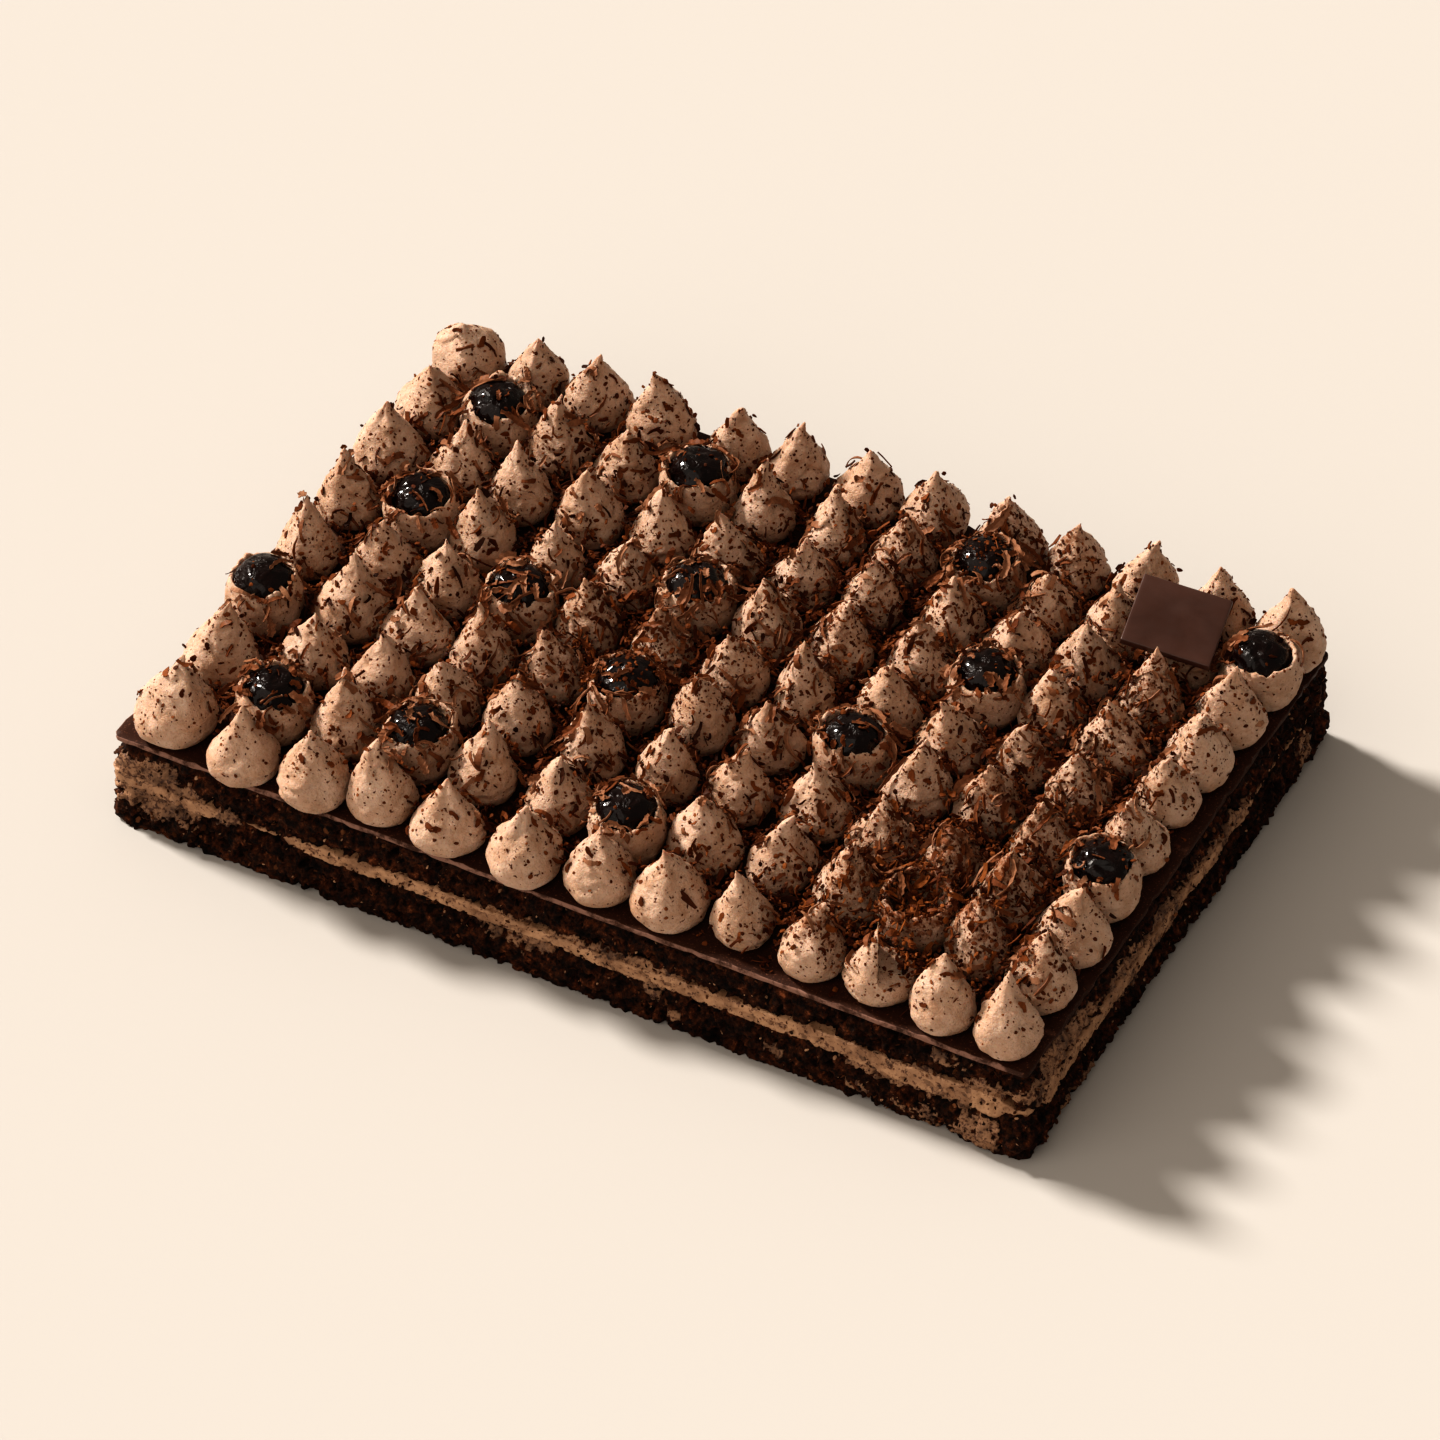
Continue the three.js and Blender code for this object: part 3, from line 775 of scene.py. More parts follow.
kiss_meshes = []
for row, (shapes, dusts) in rows.items():
    mesh = joined_copies(f"piped_row_{row + 1:02d}", kiss_form, np.array(shapes))
    marked(mesh, "dust", np.concatenate(dusts))
    dressed(mesh, whipped, [f"kiss_row_{row + 1:02d}"])
    kiss_meshes.append(mesh)

# ---------------------------------------------------------------------------
# Cherries. Whole black cherries out of their syrup, one pressed into each
# cup. The skin is wet, wrinkled and almost black.
# ---------------------------------------------------------------------------
CHERRY_TURNS, CHERRY_RINGS = 44, 30
CHERRY_HALF_WIDTH, CHERRY_FLATNESS, CHERRY_SINK = 11.5, 0.84, 1.5
CHERRY_SKIN = (0.0030, 0.0008, 0.0006)
CHERRY_RED = (0.008, 0.0018, 0.0012)
CHERRY_SYRUP = (1.0, 0.9, 0.8, 1)


def cherry_material():
    material, tree, shader = blank_material("wet_cherry")
    colour = ramp(tree, grain(tree, 160, 3), [(0.35, CHERRY_SKIN), (0.7, CHERRY_RED)])
    surfaced(tree, shader, colour, ((240, 3), 0.16, 0.36), [((150, 3, 0.5, 1.6), 0.0026, 0.7)], gloss=0.10)
    fed(tree, shader, {"Coat Weight": 0.36, "Coat Roughness": 0.02, "Coat Tint": CHERRY_SYRUP})
    return material


wet = cherry_material()
cherry_form, cherry_turn, cherry_level = round_form(CHERRY_TURNS, CHERRY_RINGS)
cherry_meshes = []
cherry_spots = []
for number in range(1, 16):
    low, high = (np.array(corner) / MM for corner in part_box(f"cherry_{number:02d}"))
    polar = (cherry_level - 0.5) * math.pi
    ball = np.c_[np.cos(polar) * np.cos(cherry_turn), np.cos(polar) * np.sin(cherry_turn), np.sin(polar)]
    skin = ball * 10 + 60 * number
    dents = 1 + 0.06 * bumps(skin, 8) + 0.055 * bumps(skin, 3.2) - 0.07 * ease(0.1, 0.5, bumps(skin, 5, 2))
    top = 1 - 0.06 * ease(0.86, 1.0, ball[:, 2])
    middle = (low + high) / 2
    points = ball * CHERRY_HALF_WIDTH * (dents * top)[:, None] * np.array([1, 1, CHERRY_FLATNESS]) + middle
    points[:, 2] -= CHERRY_SINK
    mesh = joined_copies(f"black_cherry_{number:02d}", cherry_form, points[None])
    dressed(mesh, wet, [f"cherry_{number:02d}"])
    cherry_meshes.append(mesh)
    cherry_spots.append(middle)
cherry_spots = np.array(cherry_spots)

# ---------------------------------------------------------------------------
# Chocolate square. A thin moulded square of dark milk chocolate, laid on the
# kisses near the back right corner. Its face is left plain.
# ---------------------------------------------------------------------------
SQUARE_SIDE = 33.0
SQUARE_THICKNESS = 2.5
SQUARE_DRAFT, SQUARE_ROUND = 1.012, 0.45
SQUARE_TURN, SQUARE_DIP_RIGHT, SQUARE_DIP_FRONT = (math.radians(a) for a in (12, 9, 5.5))
SQUARE_CUTS = np.arange(-15, 15.1, 2.5)
SQUARE_BROWN = (0.043, 0.0155, 0.0090)
# The lighter patches of the square are a painted sheen.
SQUARE_PAINTED_SHEEN = (0.060, 0.024, 0.0155)


def square_bmesh():
    bm = bmesh.new()
    bmesh.ops.create_cube(bm, size=1)
    bmesh.ops.scale(bm, verts=bm.verts[:], vec=(SQUARE_SIDE, SQUARE_SIDE, SQUARE_THICKNESS))
    under = [v for v in bm.verts if v.co.z < 0]
    bmesh.ops.scale(bm, verts=under, vec=(SQUARE_DRAFT, SQUARE_DRAFT, 1))
    bmesh.ops.bevel(bm, geom=bm.edges[:], offset=SQUARE_ROUND, affect="EDGES", segments=3, profile=0.5,
                    material=-1)
    for axis in (0, 1):
        cut_across(bm, axis, SQUARE_CUTS)
    for vert in bm.verts:
        vert.co.z += 0.12 * noise.noise(vert.co / 14) + 0.03 * noise.noise(vert.co / 4)
    turn = (Matrix.Rotation(SQUARE_TURN, 4, "Z") @ Matrix.Rotation(SQUARE_DIP_RIGHT, 4, "Y")
            @ Matrix.Rotation(SQUARE_DIP_FRONT, 4, "X"))
    low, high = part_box("chocolate_square")
    bmesh.ops.transform(bm, verts=bm.verts[:], matrix=Matrix.Translation((low + high) / 2 / MM) @ turn)
    return bm


def square_material():
    material, tree, shader = blank_material("moulded_chocolate")
    # Brown with patches of painted sheen.
    colour = ramp(tree, grain(tree, 55, 3, 0.5, 0.3), [(0.35, SQUARE_BROWN), (0.65, SQUARE_PAINTED_SHEEN)])
    surfaced(tree, shader, colour, ((130, 4, 0.6), 0.30, 0.46), [((500, 3), 0.0001, 0.5)])
    return material


finished("plain_square", square_bmesh(), square_material(), ["chocolate_square"])

# ---------------------------------------------------------------------------
# Flecks. Grated dark chocolate that fell on the kisses and stuck to the soft
# cream, thickest on their upper halves.
# ---------------------------------------------------------------------------
# Pieces of flecks, with how many there are and their least and greatest half width
FLECKS = [("large_flecks", 5200, 0.45, 0.95), ("small_flecks", 9600, 0.27, 0.55)]
CHERRY_FLECKS = 420
LONG_FLAKES = 650


def chip_form():
    """A small flat chip with an uneven outline, 2 wide."""
    bm = bmesh.new()
    bmesh.ops.create_icosphere(bm, subdivisions=1, radius=1)
    for vert in bm.verts:
        vert.co *= 1 + 0.35 * noise.noise(vert.co * 2.1)
        vert.co.z *= 0.34
    return as_form("chip_form", bm)


def grated_material(name, stops, roughness):
    """Grated chocolate: each bit has its own shade, kept in the attribute shade."""
    material, tree, shader = blank_material(name)
    colour = ramp(tree, attribute_of(tree, "shade"), stops)
    mottle = ramp(tree, grain(tree, 700, 3, 0.6), [(0.3, (0.72, 0.7, 0.68)), (0.7, (1.2, 1.18, 1.15))])
    surfaced(tree, shader, blended(tree, 1.0, colour, mottle, "MULTIPLY"),
             ((500, 2), roughness - 0.1, roughness + 0.12), [((1600, 2, 0.6), 0.00015, 0.6)], gloss=0.09)
    return material


def facing(normals, rng):
    """A right-handed frame for each normal, turned at random about it."""
    first = unit(np.cross(normals, rng.normal(size=normals.shape)))
    return np.stack([first, np.cross(normals, first), normals], axis=2)


def places_in(mesh):
    """Where the vertices of a finished mesh are, in mm."""
    co = np.zeros(3 * len(mesh.vertices))
    mesh.vertices.foreach_get("co", co)
    return co.reshape(-1, 3) / MM


def surface_points(meshes):
    """Middle, normal and area of each face of finished meshes, in mm, always in the same order."""
    middles, crossed = [], []
    for mesh in meshes:
        corners, starts = numbers_of(mesh.loops, "vertex_index"), numbers_of(mesh.polygons, "loop_start")
        sides = np.diff(np.r_[starts, len(corners)])
        following = np.arange(1, len(corners) + 1)
        following[starts + sides - 1] = starts
        points = places_in(mesh)[corners]
        middle = np.add.reduceat(points, starts) / sides[:, None]
        points -= np.repeat(middle, sides, axis=0)
        middles.append(middle)
        crossed.append(np.add.reduceat(np.cross(points, points[following]), starts) / 2)
    middles, crossed = np.concatenate(middles), np.concatenate(crossed)
    order = np.lexsort(np.round(middles, 7).T)
    middles, crossed = middles[order], crossed[order]
    areas = np.linalg.norm(crossed, axis=1)
    return middles, crossed / np.maximum(areas, 1e-9)[:, None], areas


def drawn(rng, count, *ranges):
    """For each range, as many values as asked for."""
    return [rng.uniform(low, high, count) for low, high in ranges]


def picked_faces(areas, weight, count, rng):
    """Faces drawn by their area and by how much falls there."""
    chance = areas * weight
    return rng.choice(len(areas), count, p=chance / chance.sum())


def chips_at(name, spots, normals, stretch, shade, rng):
    """Chips at some spots, flat on the normals. shade is how light each one is."""
    form, co = chip_form()
    places = np.einsum("nij,nvj->nvi", facing(normals, rng), co[None] * stretch[:, None]) + spots[:, None]
    mesh = joined_copies(name, form, places)
    marked(mesh, "shade", np.repeat(shade(len(spots)), len(co)))
    return mesh


def stuck_chips(name, meshes, count, rng, weight, low, high, lift, tilt=0.25):
    """Chips lying on meshes. weight says how many fall where, low and high are their half widths."""
    middles, normals, areas = surface_points(meshes)
    picked = picked_faces(areas, weight(middles, normals), count, rng)
    sizes = np.exp(rng.uniform(math.log(low), math.log(high), count))
    stretch = np.c_[sizes * rng.uniform(1.0, 1.6, count), sizes * rng.uniform(0.8, 1.1, count), sizes * 0.8]
    tilted = unit(normals[picked] + tilt * rng.normal(size=(count, 3)))
    spots = middles[picked] + normals[picked] * (lift * sizes)[:, None] + 0.2 * rng.normal(size=(count, 3))
    return chips_at(name, spots, tilted, stretch, lambda n: rng.uniform(0, 1, n), rng)


def on_kisses(middles, normals):
    """Flecks stick to the upper sides of the kisses, where the chocolate fell."""
    rise = (middles[:, 2] - PLATE_HIGH[2]) / KISS_HEIGHT
    fall = chocolate_fall(middles[:, 0], middles[:, 1])
    return ease(-0.4, 0.5, normals[:, 2]) * (0.35 + 0.65 * ease(0.1, 0.55, rise)) * (0.10 + fall)


def bent_flakes(name, strip, spots, normals, rng, lengths, widths, thick, rise, roll):
    """Bent strips with both ends on a surface. They arch up by rise, and roll lays them on their side."""
    form, co = strip
    count = len(spots)
    along, beside, out = np.moveaxis(facing(normals, rng), 2, 0)
    tilt = rise[:, None]
    bulge = beside * np.cos(tilt) + out * np.sin(tilt)
    turn = rng.uniform(0.5, 2.6, count)[:, None]
    radius = lengths[:, None] / turn
    phi = turn * (co[None, :, 0] - 0.5)
    high = radius * (np.cos(phi) - np.cos(turn / 2))
    far = radius * np.sin(phi)
    angle = roll[:, None] + rng.normal(0, 0.5, (count, 1)) * (co[None, :, 0] - 0.5)
    ragged = 1 + 0.25 * np.sin(9 * co[None, :, 0] + rng.uniform(0, 6, (count, 1)))
    taper = (0.5 + 0.5 * np.sin(math.pi * np.clip(co[:, 0], 0.05, 0.95)) ** 0.6) * ragged
    wide = co[None, :, 1] * widths[:, None] * taper
    deep = co[None, :, 2] * thick[:, None]
    across = np.cross(along, bulge)[:, None]
    radial = along[:, None] * np.sin(phi)[..., None] + bulge[:, None] * np.cos(phi)[..., None]
    one = wide * np.cos(angle) - deep * np.sin(angle)
    other = wide * np.sin(angle) + deep * np.cos(angle)
    places = spots[:, None] + along[:, None] * far[..., None] + bulge[:, None] * high[..., None]
    places += across * one[..., None] + radial * other[..., None]
    mesh = joined_copies(name, form, places)
    marked(mesh, "shade", np.repeat(rng.uniform(0, 1, count), len(co)))
    return mesh


def strip_form(steps, across, thickness):
    """A flat strip from x = 0 to 1 and y = -0.5 to 0.5, with a thickness."""
    bm = bmesh.new()
    bmesh.ops.create_grid(bm, x_segments=steps, y_segments=across, size=0.5)
    bmesh.ops.translate(bm, verts=bm.verts[:], vec=(0.5, 0, 0))
    bmesh.ops.solidify(bm, geom=bm.faces[:], thickness=thickness)
    bmesh.ops.recalc_face_normals(bm, faces=bm.faces[:])
    return as_form("strip_form", bm)


def on_cherries(middles, normals):
    """Only a few flecks stick to the wet cherries."""
    return ease(0, 0.8, normals[:, 2]) * (0.04 + chocolate_fall(middles[:, 0], middles[:, 1]) ** 2)


FLECK_STOPS = [(0, COCOA_DARK), (0.6, (0.112, 0.032, 0.0080)), (1, (0.205, 0.067, 0.021))]
fleck = grated_material("fleck_chocolate", FLECK_STOPS, roughness=0.7)
fleck_rng = np.random.default_rng(31)
for name, count, low, high in FLECKS:
    mesh = stuck_chips(name, kiss_meshes, count, fleck_rng, on_kisses, low, high, lift=0.08)
    dressed(mesh, fleck, smooth=False)
mesh = stuck_chips("cherry_flecks", cherry_meshes, CHERRY_FLECKS, fleck_rng, on_cherries, 0.3, 1.0, lift=0.1)
dressed(mesh, fleck, smooth=False)
middles, normals, areas = surface_points(kiss_meshes)
picked = picked_faces(areas, on_kisses(middles, normals), LONG_FLAKES, fleck_rng)
sizes = drawn(fleck_rng, LONG_FLAKES, (2.2, 5.5), (1.1, 2.2), (0.7, 1.2), (-0.05, 0.5), (1.2, 1.9))
spots = middles[picked] + 0.15 * normals[picked]
mesh = bent_flakes("long_flakes", strip_form(steps=5, across=1, thickness=0.35), spots, normals[picked],
                   fleck_rng, *sizes)
dressed(mesh, fleck, smooth=False)

# ---------------------------------------------------------------------------
# Loose crumbs. The knife left crumbs on the cream it dragged, so the cut
# edge is peppered with them. They stick where they landed.
# ---------------------------------------------------------------------------
CREAM_CRUMBS, SPONGE_CRUMBS, CREAM_BITS = 5600, 3600, 1300
CRUMBS_FROM, CRUMBS_TO = 1.9, 37.4


def on_the_wall(middles, normals):
    """Crumbs stick to what stands upright, clear of the floor and of the plate."""
    z = middles[:, 2]
    return ease(-0.2, 0.3, np.hypot(normals[:, 0], normals[:, 1])) * (z < CRUMBS_TO) * (z > CRUMBS_FROM)


# The lightest loose crumbs carry the same painted glint.
LOOSE_STOPS = [(0, CRUMB_DARK), (0.75, CRUMB_BROWN), (1, CRUMB_PAINTED_GLINT)]
loose = grated_material("loose_crumb", LOOSE_STOPS, roughness=0.7)
wall_rng = np.random.default_rng(43)
CREAM_PIECES = ["cream_smears", "spread_cream"]
SPONGE_PIECES = ["torn_lower_sponge", "torn_upper_sponge"]
for name, walls, count, low, high, finish, slot in (
    ("crumbs_on_cream", CREAM_PIECES, CREAM_CRUMBS, 0.2, 0.8, loose, "sponge"),
    ("crumbs_on_sponge", SPONGE_PIECES, SPONGE_CRUMBS, 0.4, 1.3, loose, "sponge"),
    ("cream_bits", SPONGE_PIECES, CREAM_BITS, 0.2, 0.75, filling, "cream"),
):
    mesh = stuck_chips(name, [bpy.data.meshes[w] for w in walls], count, wall_rng, on_the_wall, low, high,
                       lift=0.15, tilt=0.8)
    dressed(mesh, finish, smooth=False)

# ---------------------------------------------------------------------------
# Shreds and shavings. Chocolate scraped off a block with a knife: short fine
# shreds that slid into the gaps, and broad curved shavings that lie across
# the cups and tips. Each one rests on what is under it.
# ---------------------------------------------------------------------------
GRID_X, GRID_Y = 190, 132
FALL_X, FALL_Y = 176, 118
FINE_SHREDS, BROAD_SHAVINGS, GAP_CRUMBS = 6200, 1000, 5600
STANDING_CURLS = 650
STEEPEST = 0.9


def top_heights():
    """Height of what lies on the plate, in mm, on a grid of 1 mm."""
    grid = np.full((2 * GRID_X + 1, 2 * GRID_Y + 1), PLATE_HIGH[2])
    for mesh in kiss_meshes + cherry_meshes:
        co = places_in(mesh)
        column, line = np.round(co[:, :2]).astype(int).T
        np.maximum.at(grid, (column + GRID_X, line + GRID_Y), co[:, 2])
    filled = grid.copy()
    for shift_x in (-1, 0, 1):
        for shift_y in (-1, 0, 1):
            beside = np.roll(grid, (shift_x, shift_y), (0, 1))
            filled = np.maximum(filled, beside - 0.4 * (abs(shift_x) + abs(shift_y)))
    return filled


def height_at(grid, x, y):
    column = np.clip(np.round(x).astype(int) + GRID_X, 0, 2 * GRID_X)
    line = np.clip(np.round(y).astype(int) + GRID_Y, 0, 2 * GRID_Y)
    return grid[column, line]


def laid_strips(name, strip, x, y, length, width, thick, rng, pile, curl=0.0, sag=4, rusty=0.0):
    """Strips laid on the cake: each follows a bent path over the heights under it, and twists."""
    form, co = strip
    count = len(x)
    stations = 9
    share = np.linspace(0, 1, stations)
    heading = rng.uniform(0, 2 * math.pi, count)
    bend = rng.normal(0, 1.5, count)
    course = heading[:, None] + bend[:, None] * share
    step = length[:, None] / (stations - 1)
    path_x = x[:, None] + np.cumsum(np.cos(course), 1) * step
    path_y = y[:, None] + np.cumsum(np.sin(course), 1) * step
    path_z = height_at(grid, path_x, path_y)
    for _ in range(sag):
        path_z[:, 1:-1] = np.maximum(path_z[:, 1:-1], (path_z[:, :-2] + path_z[:, 2:]) / 2)
    for _ in range(3):
        path_z[:, 1:-1] = (path_z[:, :-2] + 2 * path_z[:, 1:-1] + path_z[:, 2:]) / 4
    steep = STEEPEST * step[:, 0]
    for i in range(1, stations):
        path_z[:, i] = np.clip(path_z[:, i], path_z[:, i - 1] - steep, path_z[:, i - 1] + steep)
    path_z += pile[:, None] + 0.12 * rng.uniform(0, 1, (count, 1)) * length[:, None] * (share - 0.5) ** 2
    keep = (np.abs(path_x).max(1) < HALF_X - 1) & (np.abs(path_y).max(1) < HALF_Y - 1)
    path = np.stack([path_x, path_y, path_z], 2)
    ahead = unit(np.gradient(path, axis=1))
    side = np.cross(ahead, [0, 0, 1])
    side /= np.maximum(np.linalg.norm(side, axis=2), 1e-6)[..., None]
    up = np.cross(side, ahead)
    twist = rng.normal(0, 0.7, count)[:, None] + rng.normal(0, 0.8, count)[:, None] * share
    along = np.clip(co[:, 0], 0, 1) * (stations - 1)
    i = np.minimum(along.astype(int), stations - 2)
    part = (along - i)[None, :, None]

    def at(values):
        return values[:, i] * (1 - part) + values[:, i + 1] * part

    angle = twist[:, i] * (1 - part[..., 0]) + twist[:, i + 1] * part[..., 0]
    ragged = 1 + 0.3 * np.sin(9 * along[None] + rng.uniform(0, 6, (count, 1)))
    taper = (0.55 + 0.45 * np.sin(math.pi * np.clip(co[:, 0], 0.04, 0.96)) ** 0.6) * ragged
    across = co[None, :, 1] * width[:, None] * taper
    lifted = co[None, :, 2] * thick[:, None] + curl * width[:, None] * (4 * co[None, :, 1] ** 2) * 0.5
    sideways = across * np.cos(angle) - lifted * np.sin(angle)
    upwards = across * np.sin(angle) + lifted * np.cos(angle)
    places = at(path) + at(side) * sideways[..., None] + at(up) * upwards[..., None]
    mesh = joined_copies(name, form, places[keep])
    shade = np.clip(rng.uniform(0, 0.85, count) + rusty * rng.uniform(0, 1, count), 0, 1)
    marked(mesh, "shade", np.repeat(shade[keep], len(co)))
    return mesh


def scattered(count, rng, weight):
    """Places on the plate drawn by a weight that reads x, y and the height there."""
    x = rng.uniform(-FALL_X, FALL_X, 40 * count)
    y = rng.uniform(-FALL_Y, FALL_Y, 40 * count)
    keep = rng.uniform(0, 1, len(x)) < weight(x, y, height_at(grid, x, y))
    return x[keep][:count], y[keep][:count]


def close_to(x, y, middle_x, middle_y, reach):
    """1 at a middle and less the farther from it."""
    return np.exp(-((x - middle_x) ** 2 + (y - middle_y) ** 2) / reach ** 2)


def in_hollow(x, y):
    """1 in the middle of the hollow cup, which is heaped with shreds."""
    return close_to(x, y, hollow_x, hollow_y, 8.5)


def rust_at(x, y):
    """How much of the reddest chocolate fell at a place, most of it round the hollow cup."""
    around = np.exp(-((x - hollow_x + 8) ** 2 + (y - hollow_y + 4) ** 2) / 26 ** 2)
    return 0.75 * around + 0.15 * chocolate_fall(x, y)


def in_gaps(x, y, z):
    """Shreds slide into the gaps, and lie in the hollow cup and on the ledge of the bitten kiss."""
    low = 1 - ease(5, 15, z - PLATE_HIGH[2])
    inside = ease(-118, -100, y) * (1 - ease(108, 117, y)) * ease(-176, -160, x) * (1 - ease(158, 170, x))
    front = 0.25 * np.exp(-(((x - 88) / 30) ** 2)) * (y < -112)
    slid = (0.05 + 0.95 * low) * (0.08 + 0.92 * inside + front) * (0.2 + 0.8 * chocolate_fall(x, y))
    return slid + 0.8 * in_hollow(x, y) + 0.8 * close_to(x, y, ledge_x, ledge_y, 4.5)


def heaped(x, y, most):
    """How high a bit may lie above what is under it: the gaps and the hollow cup are heaped."""
    gap = 1 - ease(8, 20, height_at(grid, x, y) - PLATE_HIGH[2])
    gap = gap * ease(-118, -98, y) * (1 - ease(86, 104, y)) * ease(-172, -155, x) * (1 - ease(150, 166, x))
    share = np.maximum(gap * (0.35 + 0.65 * chocolate_fall(x, y)), 0.9 * in_hollow(x, y))
    return share * shred_rng.uniform(0, most, len(x))


def round_cherries(x, y, radius, reach):
    """1 on a ring round each cherry and less away from it."""
    away = np.min(np.hypot(x[:, None] - cherry_spots[:, 0], y[:, None] - cherry_spots[:, 1]), axis=1)
    return np.exp(-(((away - radius) / reach) ** 2))


def over_cups(x, y, z):
    """Broad shavings lie round the cherries, and a few anywhere."""
    inside = ease(-116, -96, y) * (1 - ease(98, 110, y)) * ease(-174, -156, x) * (1 - ease(158, 172, x))
    return (0.12 * chocolate_fall(x, y) + 0.75 * round_cherries(x, y, 13.5, 2.6) + 0.03) * inside


SHRED_STOPS = [(0, (0.022, 0.0060, 0.0020)), (0.40, (0.082, 0.022, 0.0055)), (0.75, (0.140, 0.042, 0.0110)),
               (1, RUST)]
SHAVING_STOPS = [(0, COCOA_WARM), (0.4, (0.185, 0.076, 0.036)), (1, (0.30, 0.155, 0.090))]
for row, kind, i, _, x, y in kiss_places():
    if kind == "h":
        hollow_x, hollow_y = x, y
    if (row, i) == BITTEN_KISS:
        ledge_x, ledge_y = x + 6.0, y + 3.0
shred = grated_material("shred_chocolate", SHRED_STOPS, roughness=0.6)
shaving = grated_material("shaving_chocolate", SHAVING_STOPS, roughness=0.5)
grid = top_heights()
shred_rng = np.random.default_rng(57)

x, y = scattered(FINE_SHREDS, shred_rng, in_gaps)
length, width, thick = drawn(shred_rng, len(x), (0.1, 1.8), (-0.5, 0.85), (0.4, 0.8))
mesh = laid_strips("fine_shreds", strip_form(steps=3, across=1, thickness=0.5), x, y, np.exp(length),
                   np.exp(width), thick, shred_rng, heaped(x, y, most=11) + 0.2, rusty=rust_at(x, y))
dressed(mesh, shred, smooth=False)

x, y = scattered(BROAD_SHAVINGS, shred_rng, over_cups)
length, width, thick, pile = drawn(shred_rng, len(x), (0.9, 2.55), (0.1, 1.2), (1.0, 2.0), (0.1, 1.0))
mesh = laid_strips("broad_shavings", strip_form(steps=8, across=2, thickness=0.14), x, y, np.exp(length),
                   np.exp(width), thick, shred_rng, pile, curl=0.45, sag=8)
dressed(mesh, shaving, smooth=False)


def where_curls_stand(middles, normals):
    """Curls stand round the cups' rims, and on the upper sides of the kisses in the thick of the fall."""
    x, y, z = middles.T
    above = z - PLATE_HIGH[2]
    rim = round_cherries(x, y, 12.4, 1.8) * ease(14, 18, above)
    inside = ease(-119, -104, y) * (1 - 0.85 * ease(94, 108, y)) * ease(-176, -160, x)
    inside = inside * (1 - 0.4 * ease(150, 164, x))
    thick = 0.8 * rim + 0.25 * chocolate_fall(x, y) * ease(4, 12, above)
    return ease(-0.2, 0.5, normals[:, 2]) * thick * inside


picked = picked_faces(areas, where_curls_stand(middles, normals), STANDING_CURLS, shred_rng)
length, *others = drawn(shred_rng, STANDING_CURLS,
                        (1.2, 2.45), (1.2, 2.7), (0.9, 1.6), (0.4, 2.2), (-0.5, 0.5))
mesh = bent_flakes("standing_curls", strip_form(steps=7, across=1, thickness=0.3),
                   middles[picked], normals[picked], shred_rng, np.exp(length), *others)
dressed(mesh, shaving, smooth=False)

x, y = scattered(GAP_CRUMBS, shred_rng, in_gaps)
size = shred_rng.uniform(0.45, 1.35, len(x))
spots = np.c_[x, y, height_at(grid, x, y) + heaped(x, y, most=9) + 0.3 * size]
ups = unit(shred_rng.normal(size=spots.shape))


def rusty_shade(n):
    """How light each gap crumb is, the reddest round the hollow cup."""
    plain, red = drawn(shred_rng, n, (0, 0.85), (0, 1))
    return np.clip(plain + rust_at(x, y) * red, 0, 1)


mesh = chips_at("gap_crumbs", spots, ups, size[:, None] * np.ones(3), rusty_shade, shred_rng)
dressed(mesh, shred, smooth=False)

# ---------------------------------------------------------------------------
# Floor, light and camera. A plain pale floor under soft light from the left,
# seen from the height and distance of a table camera with a long lens.
# ---------------------------------------------------------------------------
FLOOR_COLOUR = (0.463, 0.433, 0.402)
CAMERA_TURN, CAMERA_HEIGHT, CAMERA_ROLL = (math.radians(a) for a in (27.62, 42.54, 0.45))
CAMERA_TARGET = Vector((-0.01532, 0.02548, 0))
CAMERA_DISTANCE = 3.1278
CAMERA_LENS = 217.07
CAMERA_SENSOR = 36
CAMERA_SEES_TO = 50
FLOOR_HALF = 6
SUN_HEIGHT = math.radians(38)
SUN_TURN = math.radians(7)
# Each light: strength, how wide it looks in degrees, colour, and the way towards it
LIGHTS = {
    "window_light": (4.9, 10, (1.0, 0.97, 0.93), (
        -math.cos(SUN_HEIGHT) * math.cos(SUN_TURN), math.cos(SUN_HEIGHT) * math.sin(SUN_TURN),
        math.sin(SUN_HEIGHT))),
    "white_card": (1.0, 70, (1.0, 0.93, 0.85), (-0.25, -0.75, 0.6)),
}
ROOM_COLOUR = (1.0, 0.90, 0.79, 1)
ROOM_STRENGTH = 0.31


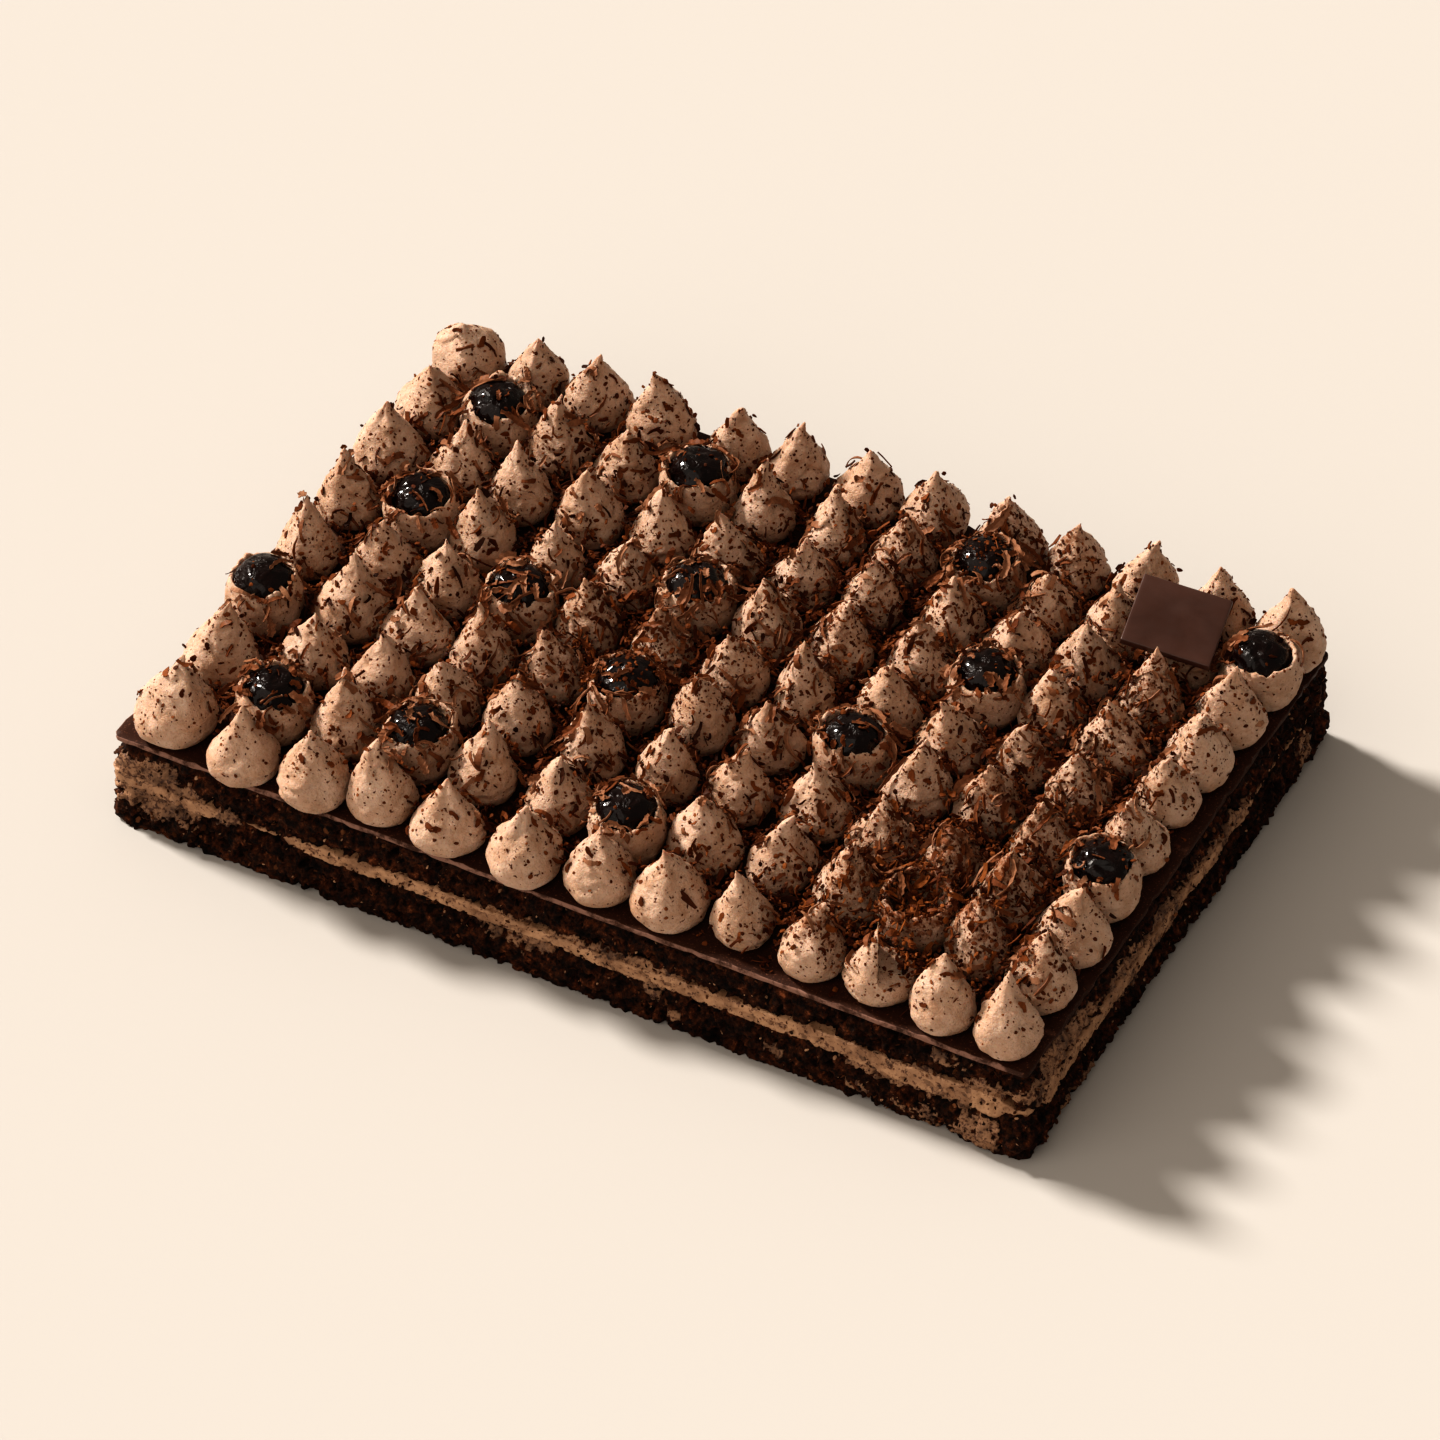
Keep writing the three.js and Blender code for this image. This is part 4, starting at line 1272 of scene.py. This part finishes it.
def floor_material():
    material, tree, shader = blank_material("pale_floor")
    fed(tree, shader, {"Base Color": (*FLOOR_COLOUR, 1), "Roughness": 0.9, "Specular IOR Level": 0.1})
    return material


bm = bmesh.new()
bmesh.ops.create_grid(bm, x_segments=1, y_segments=1, size=FLOOR_HALF)
mesh = bpy.data.meshes.new("floor")
bm.to_mesh(mesh)
bm.free()
mesh.materials.append(floor_material())
floor = bpy.data.objects.new("floor", mesh)
bpy.context.scene.collection.objects.link(floor)

back = Vector((
    math.sin(CAMERA_TURN) * math.cos(CAMERA_HEIGHT), -math.cos(CAMERA_TURN) * math.cos(CAMERA_HEIGHT),
    math.sin(CAMERA_HEIGHT)))
right = Vector((math.cos(CAMERA_TURN), math.sin(CAMERA_TURN), 0))
up = back.cross(right)
rolled_right = right * math.cos(CAMERA_ROLL) + up * math.sin(CAMERA_ROLL)
rolled_up = up * math.cos(CAMERA_ROLL) - right * math.sin(CAMERA_ROLL)
camera_data = bpy.data.cameras.new("camera")
camera_data.lens = CAMERA_LENS
camera_data.sensor_width = CAMERA_SENSOR
camera_data.clip_end = CAMERA_SEES_TO
camera = bpy.data.objects.new("camera", camera_data)
camera.matrix_world = Matrix.Translation(CAMERA_TARGET + back * CAMERA_DISTANCE) @ Matrix(
    (rolled_right, rolled_up, back)).transposed().to_4x4()
bpy.context.scene.collection.objects.link(camera)
bpy.context.scene.camera = camera

for name, (strength, wide, colour, towards) in LIGHTS.items():
    light_data = bpy.data.lights.new(name, "SUN")
    light_data.energy = strength
    light_data.angle = math.radians(wide)
    light_data.color = colour
    light = bpy.data.objects.new(name, light_data)
    light.matrix_world = Vector(towards).to_track_quat("Z", "Y").to_matrix().to_4x4()
    bpy.context.scene.collection.objects.link(light)

world = bpy.data.worlds.new("soft_room")
world.use_nodes = True
background = world.node_tree.nodes["Background"]
fed(world.node_tree, background, {"Color": ROOM_COLOUR, "Strength": ROOM_STRENGTH})
bpy.context.scene.world = world
bpy.context.scene.view_settings.view_transform = "Standard"
bpy.context.scene.view_settings.look = "High Contrast"
